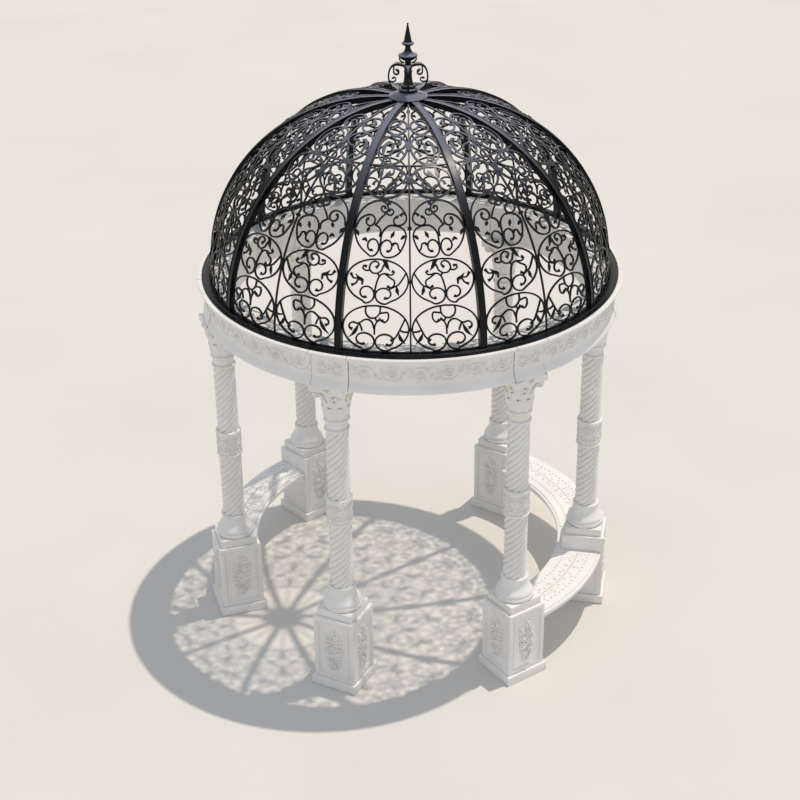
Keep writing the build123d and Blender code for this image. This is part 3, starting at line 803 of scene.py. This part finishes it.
def scroll_course(number, gores, material):
    """All the scroll work of one course, round the dome."""
    shell = Shell()
    start = sum(COURSE_HEIGHTS[:number])
    end = start + COURSE_HEIGHTS[number]
    bend = ARC_RADIUS - GRILLE_MIDDLE
    top = bend * (math.pi / 2 - foot_angle()) + ARC_OUT - HUB_RADIUS
    last = number == len(COURSE_HEIGHTS) - 1
    if number == 0:
        foot_band(shell, gores)
    for gore, half_gore in gores:
        centre_bar(shell, gore, start, top if last else end)
        collar(shell, gore, (start + end) / 2)
        ring_start = start
        if number == CROSS_BAR_COURSE:
            cross_bar(shell, gore, start + CROSS_BAR_WIDTH / 2, half_gore)
            ring_start += CROSS_BAR_WIDTH
        for side in (-1, 1):
            for kind, points in COURSE_SCROLLS[number]():
                lay_stroke(shell, kind, points, gore, side, ring_start, end, half_gore)
    return shell.piece(f"scroll_course_{number + 1}", material, "black_iron", f"grille_course_{number + 1}")


def foot_band(shell, gores):
    """Flat bar that the lowest rings stand on, from rib to rib."""
    for gore, half_gore in gores:
        reach = half_gore - math.degrees(RIB_WIDTH / 2 / level_at(0))
        count = 12
        places = [dome_place(gore - reach + 2 * reach * i / count, FOOT_BAND / 2) for i in range(count + 1)]
        path = [place for place, _ in places]
        outwards = [outward for _, outward in places]
        shell.bar(path, outwards, [FOOT_BAND] * len(path), 1.4 * BAR_DEPTH)


def base_ring(material):
    """Stepped flat ring that the ribs stand on."""
    shell = Shell()
    shell.swept(RING_PROFILE, 0, 360)
    return shell.piece("stepped_base_ring", material, "black_iron", "dome_base_ring", smooth=30)


def rib_edges(material):
    """Raised edge down both sides of every rib."""
    shell = Shell()
    top = ARC_RADIUS * (math.pi / 2 - foot_angle()) + ARC_OUT - HUB_RADIUS
    count = 56
    for azimuth in dome_ribs():
        a = math.radians(azimuth)
        across = Vector((math.cos(a), math.sin(a), 0)) * (RIB_WIDTH / 2 - RIB_EDGE / 2)
        for side in (-1, 1):
            places = [dome_place(azimuth, top * i / count, 0) for i in range(count + 1)]
            path = [place + across * side for place, _ in places]
            outwards = [outward for _, outward in places]
            shell.bar(path, outwards, [RIB_EDGE] * len(path), 0.006)
    return shell.piece("rib_edges", material, "black_iron")


def finial_scrolls(material):
    """Leafed brackets with inner curls, and the stem's thick foot."""
    shell = Shell()
    shell.turned(STEM_PROFILE)
    arm = [(0.024, 4.116), (0.050, 4.128), (0.080, 4.131), (0.106, 4.119), (0.124, 4.092)]
    arm += [(0.131, 4.052), (0.126, 4.010), (0.106, 3.972)]
    hook = [(0.024, 4.140), (0.046, 4.150), (0.056, 4.170), (0.048, 4.188)]
    curl = [(0.094, 4.124), (0.096, 4.098)] + wind((0.076, 4.080), (0.020, 0.019), -10, -290, 0.35)
    low = [(0.127, 4.020), (0.108, 4.012)] + wind((0.096, 4.030), (0.015, 0.016), 250, 20, 0.5)
    strokes = ((arm, 0.011, 0.020, 0.012), (hook, 0.009, 0.018, 0.014), (curl, 0.010, 0.027, 0.022), (low, 0.008, 0.018, 0.016))
    for quarter in range(4):
        a = math.radians(DOME_TURN + 90 * quarter)
        outward = Vector((math.sin(a), -math.cos(a), 0))
        across = Vector((math.cos(a), math.sin(a), 0))
        for points, thin, thick, depth in strokes:
            line = flowing(points, 0.006)
            path = [outward * p.x + Vector((0, 0, p.y)) for p in line]
            widths = []
            for i in range(len(line)):
                share = i / (len(line) - 1)
                swell = math.exp(-((share - 0.2) / 0.14) ** 2) if points is arm else max(0, (share - 0.75) / 0.25)
                widths.append(thin + (thick - thin) * swell)
            shell.bar(path, [across] * len(path), widths, depth)
        blade = flowing(arm[:4], 0.006)
        path = [outward * p.x + Vector((0, 0, p.y + 0.006)) for p in blade]
        widths = [0.010 + 0.028 * math.sin(math.pi * i / (len(blade) - 1)) for i in range(len(blade))]
        shell.bar(path, [Vector((0, 0, 1))] * len(path), widths, 0.008)
    return shell.piece("finial_brackets", material, "black_iron", "finial_scrolls")


def dome_ribs():
    """Azimuths of the ribs, in order."""
    return sorted([DOME_TURN + side * a for a in RIB_AZIMUTHS for side in (-1, 1)])


def dome_gores():
    """Azimuth of the centre bar and half width of each gore."""
    ribs = dome_ribs()
    following = ribs[1:] + [ribs[0] + 360]
    return [((first + last) / 2, (last - first) / 2) for first, last in zip(ribs, following)]


# Places on the stonework: across, height and lift off the surface
def column_centre(name):
    """Foot of a column's axis."""
    azimuth, radius, _ = COLUMN_PLACES[name]
    a = math.radians(azimuth)
    return Vector((radius * math.sin(a), -radius * math.cos(a), 0))


def flat_place(turn, reach):
    """Places on an upright face about the Z axis, looking toward an azimuth."""
    a = math.radians(turn)
    outward = Vector((math.sin(a), -math.cos(a), 0))
    across = Vector((math.cos(a), math.sin(a), 0))

    def place(u, v, lift):
        return outward * (reach + lift) + across * u + Vector((0, 0, v))

    return place


def round_place(turn, reach):
    """Places on an upright cylinder about the Z axis, across measured from an azimuth."""

    def place(u, v, lift):
        a = math.radians(turn) + u / reach
        outward = Vector((math.sin(a), -math.cos(a), 0))
        return outward * (reach + lift) + Vector((0, 0, v))

    return place


def column_matrix(name, turn=0):
    """Moves a piece made about the Z axis, facing the front, onto a column."""
    facing = COLUMN_PLACES[name][2]
    return Matrix.Translation(column_centre(name)) @ Matrix.Rotation(math.radians(facing + turn), 4, "Z")


def frame_bead(shell, place, half_width, bottom, top, width, height):
    """Raised bead round a panel, square at the corners."""
    corners = [(-half_width, bottom), (half_width, bottom), (half_width, top), (-half_width, top)]
    for start, end in zip(corners, corners[1:] + corners[:1]):
        start, end = Vector(start), Vector(end)
        along = (end - start).normalized() * width / 2
        shell.ridge(place, [start - along, end + along], [width] * 2, height)


def mirrored(points, side):
    """Points turned over about the upright middle line where the side is -1."""
    return [(side * u, v) for u, v in points]


# Pedestals
def bouquet(material):
    """Upright spray of flowers and leaves with a bead round its panel, on a face to the front."""
    shell = Shell()
    place = flat_place(0, DIE_SIDE / 2 - PANEL_DEPTH)
    edge = BEAD_WIDTH / 2
    frame_bead(shell, place, PANEL_WIDTH / 2 - edge, PANEL_BOTTOM + edge, PANEL_TOP - edge, BEAD_WIDTH, 0.004)
    stem = [(-0.012, 0.150), (0.012, 0.210), (-0.014, 0.270), (0.012, 0.330), (-0.010, 0.390), (0.012, 0.440)]
    shell.scroll(place, stem, 0.012, 0.009)
    blooms = [(0.014, 0.458, 0.027), (-0.030, 0.412, 0.022), (0.030, 0.388, 0.027), (-0.024, 0.350, 0.024)]
    blooms += [(0.028, 0.316, 0.029), (-0.028, 0.286, 0.026), (0.024, 0.246, 0.023), (-0.020, 0.218, 0.022)]
    blooms += [(0.016, 0.186, 0.017)]
    for i, (u, v, reach) in enumerate(blooms):
        shell.flower(place, (1.3 * u, v), 1.15 * reach, 0.015, 5, 1.3 * i)
    leaves = [(0.010, 0.478, -0.020, 0.500), (-0.020, 0.430, -0.052, 0.452), (0.034, 0.410, 0.058, 0.432)]
    leaves += [(-0.030, 0.370, -0.060, 0.372), (0.036, 0.350, 0.062, 0.352), (-0.034, 0.318, -0.060, 0.324)]
    leaves += [(0.032, 0.284, 0.058, 0.276), (-0.034, 0.258, -0.056, 0.244), (0.026, 0.220, 0.048, 0.206)]
    leaves += [(-0.020, 0.196, -0.042, 0.180), (-0.008, 0.172, -0.022, 0.136), (0.004, 0.168, 0.012, 0.140)]
    for i, (u, v, tip, height) in enumerate(leaves):
        shell.leaf(place, (u, v), (1.25 * tip, height), 0.026, 0.011, 0.15 if i % 2 else -0.15)
    return shell.piece("bouquet_front_right_0", material, "carved_stone", smooth=50)


def side_frame(material):
    """Bead round the panel under a bench end, on a face to the front."""
    shell = Shell()
    place = flat_place(0, DIE_SIDE / 2)
    top = SEAT_TOP - SEAT_THICKNESS - 0.022
    frame_bead(shell, place, PANEL_WIDTH / 2, PANEL_BOTTOM, top, BEAD_WIDTH, 0.004)
    return shell.piece("frame_bead_front_right", material, "carved_stone", smooth=50)


def pedestal(name, taken, material):
    """Plinth, die with panels sunk in its open faces, step and moulded round base."""
    base = Shell()
    base.turned(BASE_PROFILE, 48)
    base = base.piece(f"moulded_pedestal_{name}", material, "carved_stone")
    blocks = [base]
    for side, bottom, top in PEDESTAL_BLOCKS:
        bpy.ops.object.select_all(action="DESELECT")
        size = (side, side, top - bottom)
        bpy.ops.mesh.primitive_cube_add(size=1, location=(0, 0, (bottom + top) / 2), scale=size)
        bpy.ops.object.transform_apply(location=True, rotation=True, scale=True)
        block = bpy.context.object
        if side == DIE_SIDE:
            sink_panels(block, taken)
        arris = block.modifiers.new("arris", "BEVEL")
        arris.width = ARRIS
        arris.segments = 2
        bpy.ops.object.modifier_apply(modifier="arris")
        block.data.materials.append(material)
        blocks.append(block)
    bpy.ops.object.select_all(action="DESELECT")
    for block in blocks:
        block.select_set(True)
    bpy.context.view_layer.objects.active = base
    bpy.ops.object.join()
    base.data.transform(column_matrix(name))
    settle(base, "carved_stone", f"pedestal_{name}", smooth=30)


def sink_panels(die, taken):
    """Sinks a panel with a sloped edge in each upright face that no bench meets."""
    for part in (die.data.vertices, die.data.edges, die.data.polygons):
        for item in part:
            item.select = False
    for face in die.data.polygons:
        turn = round(math.degrees(math.atan2(face.normal.x, -face.normal.y))) % 360
        face.select = abs(face.normal.z) < 0.5 and turn not in taken
    bpy.ops.object.mode_set(mode="EDIT")
    bpy.ops.mesh.select_mode(type="FACE")
    bpy.ops.mesh.inset(use_individual=True, thickness=PANEL_MARGIN)
    bpy.ops.mesh.inset(use_individual=True, thickness=0.003, depth=-PANEL_DEPTH)
    bpy.ops.object.mode_set(mode="OBJECT")


def dress_pedestals(material):
    """A bouquet on every open face and a plain beaded panel under every bench end."""
    bench_sides = {name: [] for name in COLUMN_PLACES}
    for start, end in BENCH_BAYS.values():
        bench_sides[start].append(90)
        bench_sides[end].append(270)
    spray = bouquet(material)
    frame = side_frame(material)
    for name, taken in bench_sides.items():
        pedestal(name, taken, material)
        for turn in (0, 90, 180, 270):
            matrix = column_matrix(name, turn)
            if turn in taken:
                copied(frame, f"frame_bead_{name}_{turn}", matrix, "carved_stone")
            elif (name, turn) != ("front_right", 0):
                copied(spray, f"bouquet_{name}_{turn}", matrix, "carved_stone")
    spray.data.transform(column_matrix("front_right"))
    bpy.data.objects.remove(frame)


# Shafts
def twisted_shaft(material):
    """Reeded lengths twisted round the shaft, with a plain band and beads."""
    shell = Shell()
    for radius, bottom, top in SHAFT_LENGTHS:
        shell.reeds(radius, bottom, top)
    for radius, bottom in SHAFT_BEADS:
        core = radius - BEAD_HEIGHT / 2
        round_face = [0, 15, 30, 45, 60, 75, 90, 105, 120, 135, 150, 165, 180]
        profile = [(0.050, bottom)]
        for angle in round_face:
            swell = math.sin(math.radians(angle))
            rise = 1 - math.cos(math.radians(angle))
            profile.append((core + swell * BEAD_HEIGHT / 2, bottom + rise * BEAD_HEIGHT / 2))
        profile.append((0.050, bottom + BEAD_HEIGHT))
        shell.turned(profile, 48)
    shell.turned([(0.050, BAND_BOTTOM), (BAND_RADIUS, BAND_BOTTOM), (BAND_RADIUS, BAND_TOP), (0.050, BAND_TOP)], 48)
    return shell.piece("twisted_shaft_front_right", material, "carved_stone", "shaft_front_right", smooth=40)


def band_carving(material):
    """Flowers in C scrolls and leaves round the band of a shaft at the Z axis."""
    shell = Shell()
    repeats = 4
    half = math.pi * BAND_RADIUS / repeats
    middle = (BAND_BOTTOM + BAND_TOP) / 2
    for i in range(repeats):
        place = round_place(360 * i / repeats, BAND_RADIUS)
        shell.flower(place, (0, middle), 0.024, 0.007, 6)
        for side in (-1, 1):
            for way in (-1, 1):
                def turned_over(points):
                    return [(side * u, middle + way * (v - middle)) for u, v in points]

                curl = wind((0.040, middle + 0.036), (0.020, 0.024), 250, -60, 0.35)
                shell.scroll(place, turned_over([(0.010, middle + 0.070)] + curl), 0.008, 0.006)
                tip = turned_over([(0.030, middle + 0.006), (half, middle + 0.030)])
                shell.leaf(place, tip[0], tip[1], 0.018, 0.006, 0.2 * side * way)
                tip = turned_over([(0.012, middle + 0.040), (0.014, middle + 0.078)])
                shell.leaf(place, tip[0], tip[1], 0.016, 0.006, -0.1 * side * way)
        shell.leaf(place, (0, middle + 0.028), (0, middle + 0.066), 0.018, 0.007)
        shell.leaf(place, (0, middle - 0.028), (0, middle - 0.066), 0.018, 0.007)
        shell.boss(place, (half, middle), 0.011, 0.007)
        shell.boss(place, (half, middle + 0.058), 0.008, 0.006)
        shell.boss(place, (half, middle - 0.058), 0.008, 0.006)
    return shell.piece("band_carving_front_right", material, "carved_stone", smooth=50)


# Capitals
def bell_radius(height):
    """Radius of the capital's bell at a height."""
    (low, foot), (waist, middle), (high, lip) = BELL_RADII
    if height < waist:
        return foot + (middle - foot) * ((height - low) / (waist - low)) ** 1.5
    return middle + (lip - middle) * ((height - waist) / (high - waist)) ** 1.3


def acanthus(shell, turn, foot, height, width, stand):
    """Lobed leaf up the bell, its tip curled out and over."""
    rows, columns = 14, 7
    curl_start = 0.68
    curl = 0.02 * height
    profile = []
    for i in range(rows + 1):
        share = i / rows
        if share < curl_start:
            level = foot + height * share / curl_start * 0.84
            profile.append((bell_radius(level) + stand * share / curl_start, level))
        else:
            angle = math.radians(60 * (share - curl_start) / (1 - curl_start))
            level = foot + 0.84 * height + curl * math.sin(angle)
            profile.append((bell_radius(foot + 0.84 * height) + stand + curl * (1 - math.cos(angle)), level))
    first = len(shell.points)
    for i, (radius, level) in enumerate(profile):
        share = i / rows
        ahead = profile[min(i + 1, rows)]
        behind = profile[max(i - 1, 0)]
        slope = Vector((ahead[0] - behind[0], ahead[1] - behind[1])).normalized()
        outward = Vector((slope.y, -slope.x))
        spread = 0.62 + 0.38 * math.sin(math.pi * min(1, share * 1.2))
        spread *= 1 if share < curl_start else 1 - 0.55 * (share - curl_start) / (1 - curl_start)
        spread *= 1 + 0.2 * math.cos(2 * math.pi * 3.5 * share)
        outer, inner = [], []
        for j in range(columns):
            across = 2 * j / (columns - 1) - 1
            swell = 0.005 * (1 - across**2) + 0.0022 * math.cos(3 * math.pi * across) - 0.002 * abs(across)
            a = math.radians(turn) + across * spread * width / 2 / radius
            face = radius + outward.x * swell
            outer.append(Vector((face * math.sin(a), -face * math.cos(a), level + outward.y * swell)))
            back = bell_radius(level) - SINK
            inner.append(Vector((back * math.sin(a), -back * math.cos(a), level - SINK * share)))
        shell.points += outer + inner[::-1]
    shell.join(first, 2 * columns, rows + 1)


def capital_carving(material):
    """Two tiers of acanthus, volute spirals and abacus flowers, on a capital at the Z axis."""
    shell = Shell()
    for i in range(8):
        acanthus(shell, 45 * i, BELL_BOTTOM, 0.112, 0.064, 0.005)
        acanthus(shell, 45 * i + 22.5, BELL_BOTTOM + 0.01, 0.166, 0.060, 0.003)
    for i in range(4):
        turn = 90 * i + 45
        shell.drum(flat_place(turn - 90, 0), (VOLUTE_REACH, VOLUTE_HEIGHT), VOLUTE_RADIUS, VOLUTE_HALF)
        for side in (-1, 1):
            place = flat_place(turn + 90 * side, VOLUTE_HALF)
            start = 90 - 90 * side
            reach = VOLUTE_RADIUS - 0.005
            spiral = wind((-side * VOLUTE_REACH, VOLUTE_HEIGHT), (reach, reach), start, start + side * 560, 0.2)
            shell.scroll(place, spiral, 0.007, 0.004)
            stalk = [(side * 0.014, 2.280), (side * 0.034, 2.318), (side * 0.060, 2.342), (side * 0.084, 2.348)]
            face = flat_place(90 * i, 0.102)
            shell.scroll(face, stalk, 0.014, 0.010)
            shell.scroll(face, mirrored(wind((0.024, 2.336), (0.015, 0.016), 240, -120, 0.3), side), 0.009, 0.008)
        face = flat_place(90 * i, ABACUS_HALF - 0.004)
        shell.flower(face, (0, ABACUS_MIDDLE), 0.026, 0.014, 6)
    return shell.piece("capital_carving_front_right", material, "carved_stone", smooth=50)


def dress_columns(material):
    """Carved band and capital leaves, modelled once and copied to every column."""
    carvings = {
        "twisted_shaft": (twisted_shaft(material), "shaft"),
        "band_carving": (band_carving(material), None),
        "capital_carving": (capital_carving(material), None),
    }
    for kind, (first, node) in carvings.items():
        for name in COLUMN_PLACES:
            if name != "front_right":
                nodes = (f"{node}_{name}",) if node else ()
                copied(first, f"{kind}_{name}", column_matrix(name), "carved_stone", *nodes)
        first.data.transform(column_matrix("front_right"))


# Entablature
def frieze_unit(shell, turn, length, way):
    """One wave of the running scroll: a stem that winds round a flower, with leaves."""
    place = round_place(turn, FRIEZE_RADIUS)
    middle = (FRIEZE_BOTTOM + FRIEZE_TOP) / 2
    half = length / 2
    up = 0.026 * way

    def at(points):
        return [(u * half, middle + v * up) for u, v in points]

    winding = wind((0.08, 0), (0.42, 1.25), 200, -220, 0.42)
    shell.scroll(place, at([(-1, -0.1), (-0.86, -1.1), (-0.6, -1.3), (-0.42, -0.75)] + winding), 0.010, 0.005)
    shell.scroll(place, at([(-0.5, -1.15), (-0.1, -1.75), (0.42, -1.6), (0.72, -0.7), (0.86, 0.6), (1, 0.1)]), 0.009, 0.005)
    shell.flower(place, at([(0.1, 0)])[0], 0.017, 0.007, 6)
    leaves = [
        ((-0.72, -1.1), (-0.95, -1.9), 0.022, 0.2),
        ((-0.62, -0.9), (-0.74, 0.5), 0.024, -0.2),
        ((-0.42, 0.6), (-0.72, 1.6), 0.022, 0.2),
        ((0.1, 1.35), (-0.16, 2.0), 0.020, -0.15),
        ((0.45, 0.9), (0.5, 1.95), 0.024, 0.15),
        ((0.66, -0.7), (0.98, -1.7), 0.024, -0.2),
        ((0.2, -1.6), (0.46, -2.1), 0.016, 0.1),
        ((0.8, 0.6), (0.84, 1.7), 0.022, -0.2),
    ]
    for start, end, width, bend in leaves:
        ends = at([start, end])
        shell.leaf(place, ends[0], ends[1], 0.8 * width, 0.005, bend * way)


def frieze_scroll(name, first, last, material):
    """Running scroll between two blocks."""
    shell = Shell()
    length = math.radians(last - first) * FRIEZE_RADIUS
    repeats = 2 * max(1, round(length / 0.19 / 2))
    turn = (last - first) / repeats
    for i in range(repeats):
        frieze_unit(shell, first + turn * (i + 0.5), length / repeats, 1 if i % 2 else -1)
    shell.piece(f"frieze_scroll_{name}", material, "carved_stone", smooth=50)


def block_panel(shell, azimuth):
    """Flower with curls and leaves round it, on one block."""
    place = round_place(azimuth, FRIEZE_RADIUS + BLOCK_PROUD)
    middle = (FRIEZE_BOTTOM + FRIEZE_TOP) / 2
    shell.flower(place, (0, middle), 0.030, 0.008, 8)
    for side in (-1, 1):
        for way in (-1, 1):
            curl = wind((0.066, 0.026), (0.020, 0.020), 200, -160, 0.3)
            points = [(side * u, middle + way * v) for u, v in [(0.030, 0.004), (0.040, 0.026)] + curl]
            shell.scroll(place, points, 0.009, 0.005)
            shell.leaf(place, (side * 0.020, middle + way * 0.030), (side * 0.046, middle + way * 0.052), 0.018, 0.005)
        shell.leaf(place, (side * 0.060, middle), (side * 0.098, middle), 0.020, 0.005)


def lengthened(profile, proud, drop):
    """Entablature profile stood out from the frieze and let down at its foot."""
    foot = [(radius + proud * (radius > 1.4), height - drop * (height < 2.45)) for radius, height in profile]
    return foot + CORNICE_PROFILE


def block_ends(name):
    """Azimuths of the two ends of the block over a column."""
    azimuth = COLUMN_PLACES[name][0]
    before, after = BLOCK_REACH.get(name, (BLOCK_WIDTH / 2, BLOCK_WIDTH / 2))
    return azimuth - math.degrees(before / FRIEZE_RADIUS), azimuth + math.degrees(after / FRIEZE_RADIUS)


def dress_entablature(material):
    """Moulded beams with a scroll frieze, and a block with a flower over each column."""
    gap = math.degrees(JOINT / FRIEZE_RADIUS)
    azimuths = {name: place[0] for name, place in COLUMN_PLACES.items()}
    names = sorted(azimuths, key=azimuths.get)
    blocks, flowers, joints = Shell(), Shell(), Shell()
    beam_profile = lengthened(FOOT_PROFILE, 0, 0)
    block_profile = lengthened(FOOT_PROFILE, BLOCK_PROUD, BLOCK_DROP)
    joint_profile = []
    for radius, height in beam_profile:
        inward = JOINT_DEPTH if radius > 1.4 else -JOINT_DEPTH
        joint_profile.append((radius - inward, height + (0.003 if height < 2.5 else -0.003)))
    for name, following in zip(names, names[1:] + names[:1]):
        before, after = block_ends(name)
        blocks.swept(block_profile, before, after)
        block_panel(flowers, (before + after) / 2)
        start = after
        end = block_ends(following)[0]
        if end < start:
            end += 360
        joints.swept(joint_profile, start - gap, start + 2 * gap)
        joints.swept(joint_profile, end - 2 * gap, end + gap)
        beam = Shell()
        beam.swept(beam_profile, start + gap, end - gap)
        beam.piece(f"moulded_beam_{name}", material, "carved_stone", f"beam_after_{name}", smooth=30)
        frieze_scroll(name, start + gap, end - gap, material)
    blocks.piece("moulded_blocks", material, "carved_stone", "entablature_blocks", smooth=30)
    flowers.piece("block_flowers", material, "carved_stone", smooth=50)
    joints.piece("block_joints", mortar(), "carved_stone")


# Benches
def bench_limit(name, radius, side):
    """Azimuth at which an arc of the seat meets the side of a pedestal."""
    azimuth, reach, facing = COLUMN_PLACES[name]
    offset = side * (DIE_SIDE / 2 - SINK) + reach * math.sin(math.radians(azimuth - facing))
    return math.radians(facing) + math.asin(offset / radius)


def seat_marks(bay, start, end, material):
    """Thin top to a seat, punched with three rows of pits along its curve."""
    cell = 0.014
    inner, outer = SEAT_RADII[bay][0] + 0.022, SEAT_RADII[bay][1] - 0.022
    first = bench_limit(start, (inner + outer) / 2, 1)
    last = bench_limit(end, (inner + outer) / 2, -1)
    around = round((last - first) * (inner + outer) / 2 / cell)
    across = round((outer - inner) / cell)
    bpy.ops.object.select_all(action="DESELECT")
    bpy.ops.mesh.primitive_grid_add(x_subdivisions=around, y_subdivisions=across, size=2)
    top = bpy.context.object
    top.name = f"seat_marks_{bay}"
    for vertex in top.data.vertices:
        radius = inner + (outer - inner) * (vertex.co.y + 1) / 2
        low, high = bench_limit(start, radius, 1), bench_limit(end, radius, -1)
        angle = low + (high - low) * (vertex.co.x + 1) / 2
        vertex.co = (radius * math.sin(angle), -radius * math.cos(angle), SEAT_TOP + 0.006)
    bpy.context.view_layer.objects.active = top
    top.select_set(True)
    solid = top.modifiers.new("solid", "SOLIDIFY")
    solid.thickness = 0.009
    solid.offset = -1 if top.data.polygons[0].normal.z > 0 else 1
    bpy.ops.object.modifier_apply(modifier="solid")
    rows = {round(across * share): step for share, step in ((0.2, 3), (0.5, 2), (0.78, 3))}
    loose = {round(across * share): step for share, step in ((0.35, 7), (0.42, 5), (0.6, 6), (0.68, 8))}
    for face in top.data.polygons:
        centre = face.center
        along = math.atan2(centre.x, -centre.y)
        row = int((math.hypot(centre.x, centre.y) - inner) / (outer - inner) * across)
        low = bench_limit(start, math.hypot(centre.x, centre.y), 1)
        high = bench_limit(end, math.hypot(centre.x, centre.y), -1)
        column = int((along - low) / (high - low) * around)
        held = 2 < column < around - 3 and centre.z > SEAT_TOP + 0.003
        marked = (row in rows and column % rows[row] == 0) or (row in loose and (column + row) % loose[row] == 0)
        face.select = held and marked
    for edge in top.data.edges:
        edge.select = False
    for vertex in top.data.vertices:
        vertex.select = False
    bpy.ops.object.mode_set(mode="EDIT")
    bpy.ops.mesh.select_mode(type="FACE")
    bpy.ops.mesh.inset(use_individual=True, thickness=0.0015, depth=-0.005)
    bpy.ops.object.mode_set(mode="OBJECT")
    top.data.materials.append(material)
    settle(top, "carved_stone")


# Setting
def set_camera():
    """Camera at the place, turn and lens of the photograph."""
    lens = bpy.data.cameras.new("camera")
    lens.sensor_fit = "HORIZONTAL"
    lens.sensor_width = 36
    lens.lens = CAMERA_LENS
    lens.clip_end = 200
    camera = bpy.data.objects.new("camera", lens)
    yaw, pitch, roll = [math.radians(a) for a in (CAMERA_YAW, CAMERA_PITCH, CAMERA_ROLL)]
    forward = Vector((math.sin(yaw) * math.cos(pitch), math.cos(yaw) * math.cos(pitch), -math.sin(pitch)))
    level = Vector((math.cos(yaw), -math.sin(yaw), 0))
    upright = level.cross(forward)
    right = level * math.cos(roll) + upright * math.sin(roll)
    up = upright * math.cos(roll) - level * math.sin(roll)
    turn = Matrix((right, up, -forward)).transposed().to_4x4()
    camera.matrix_world = Matrix.Translation(CAMERA_PLACE) @ turn
    bpy.context.scene.collection.objects.link(camera)
    bpy.context.scene.camera = camera


def set_floor():
    """Plain pale floor that keeps the shadow."""
    bpy.ops.object.select_all(action="DESELECT")
    bpy.ops.mesh.primitive_circle_add(vertices=96, radius=60, fill_type="NGON")
    floor = bpy.context.object
    floor.name = "floor"
    material, tree, place = start_material("pale_floor")
    shade = add(tree, "ShaderNodeTexNoise", {"Vector": place, "Scale": 0.5})
    colour = ramp(tree, shade.outputs["Fac"], [(0.3, "#d8d3cc"), (0.7, "#dcd8d2")])
    finish_material(tree, add(tree, "ShaderNodeBsdfDiffuse", {"Color": colour}))
    floor.data.materials.append(material)
    floor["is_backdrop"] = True


def set_light():
    """Soft sun almost overhead, a little from the right and behind, under an even pale sky."""
    world = bpy.data.worlds.new("sky")
    bpy.context.scene.world = world
    world.use_nodes = True
    tree = world.node_tree
    tree.nodes.clear()
    rays = add(tree, "ShaderNodeLightPath", {})
    sky = add(tree, "ShaderNodeBackground", {"Color": linear("#dfe8f5"), "Strength": 0.70})
    seen = add(tree, "ShaderNodeBackground", {"Color": linear("#e4e2de"), "Strength": 1})
    mirrored = add(
        tree,
        "ShaderNodeMath",
        {0: rays.outputs["Is Camera Ray"], 1: rays.outputs["Is Transmission Ray"]},
        operation="MAXIMUM",
    )
    shown = add(
        tree,
        "ShaderNodeMath",
        {0: mirrored.outputs[0], 1: rays.outputs["Is Glossy Ray"]},
        operation="MAXIMUM",
    )
    mixed = add(
        tree,
        "ShaderNodeMixShader",
        {0: shown.outputs[0], 1: sky.outputs[0], 2: seen.outputs[0]},
    )
    add(tree, "ShaderNodeOutputWorld", {"Surface": mixed.outputs[0]})
    sun = bpy.data.lights.new("sun", "SUN")
    sun.energy = 2.15
    sun.angle = math.radians(0.8)
    sun.color = linear("#fff4e4")[:3]
    lamp = bpy.data.objects.new("sun", sun)
    toward = Vector((0.26, 0.12, 1))
    lamp.rotation_euler = toward.to_track_quat("Z", "Y").to_euler()
    bpy.context.scene.collection.objects.link(lamp)


def main():
    """Dresses the frame, lights it and sets the camera."""
    bpy.context.scene.view_settings.view_transform = "Standard"
    set_camera()
    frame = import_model()
    cad_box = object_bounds()
    set_floor()
    set_light()
    stone = cast_stone()
    iron = painted_iron()
    iron_nodes = ("dome", "grille", "crown", "finial")
    for name, node in frame["nodes"].items():
        node.data.materials.clear()
        node.data.materials.append(iron if name.startswith(iron_nodes) else stone)
    gores = dome_gores()
    for number in range(len(COURSE_HEIGHTS)):
        scroll_course(number, gores, iron)
    base_ring(iron)
    rib_edges(iron)
    finial_scrolls(iron)
    dress_pedestals(stone)
    dress_columns(stone)
    dress_entablature(stone)
    for bay, (start, end) in BENCH_BAYS.items():
        seat_marks(bay, start, end, stone)
    [[list(corner) for corner in box] for box in (cad_box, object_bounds())]


main()
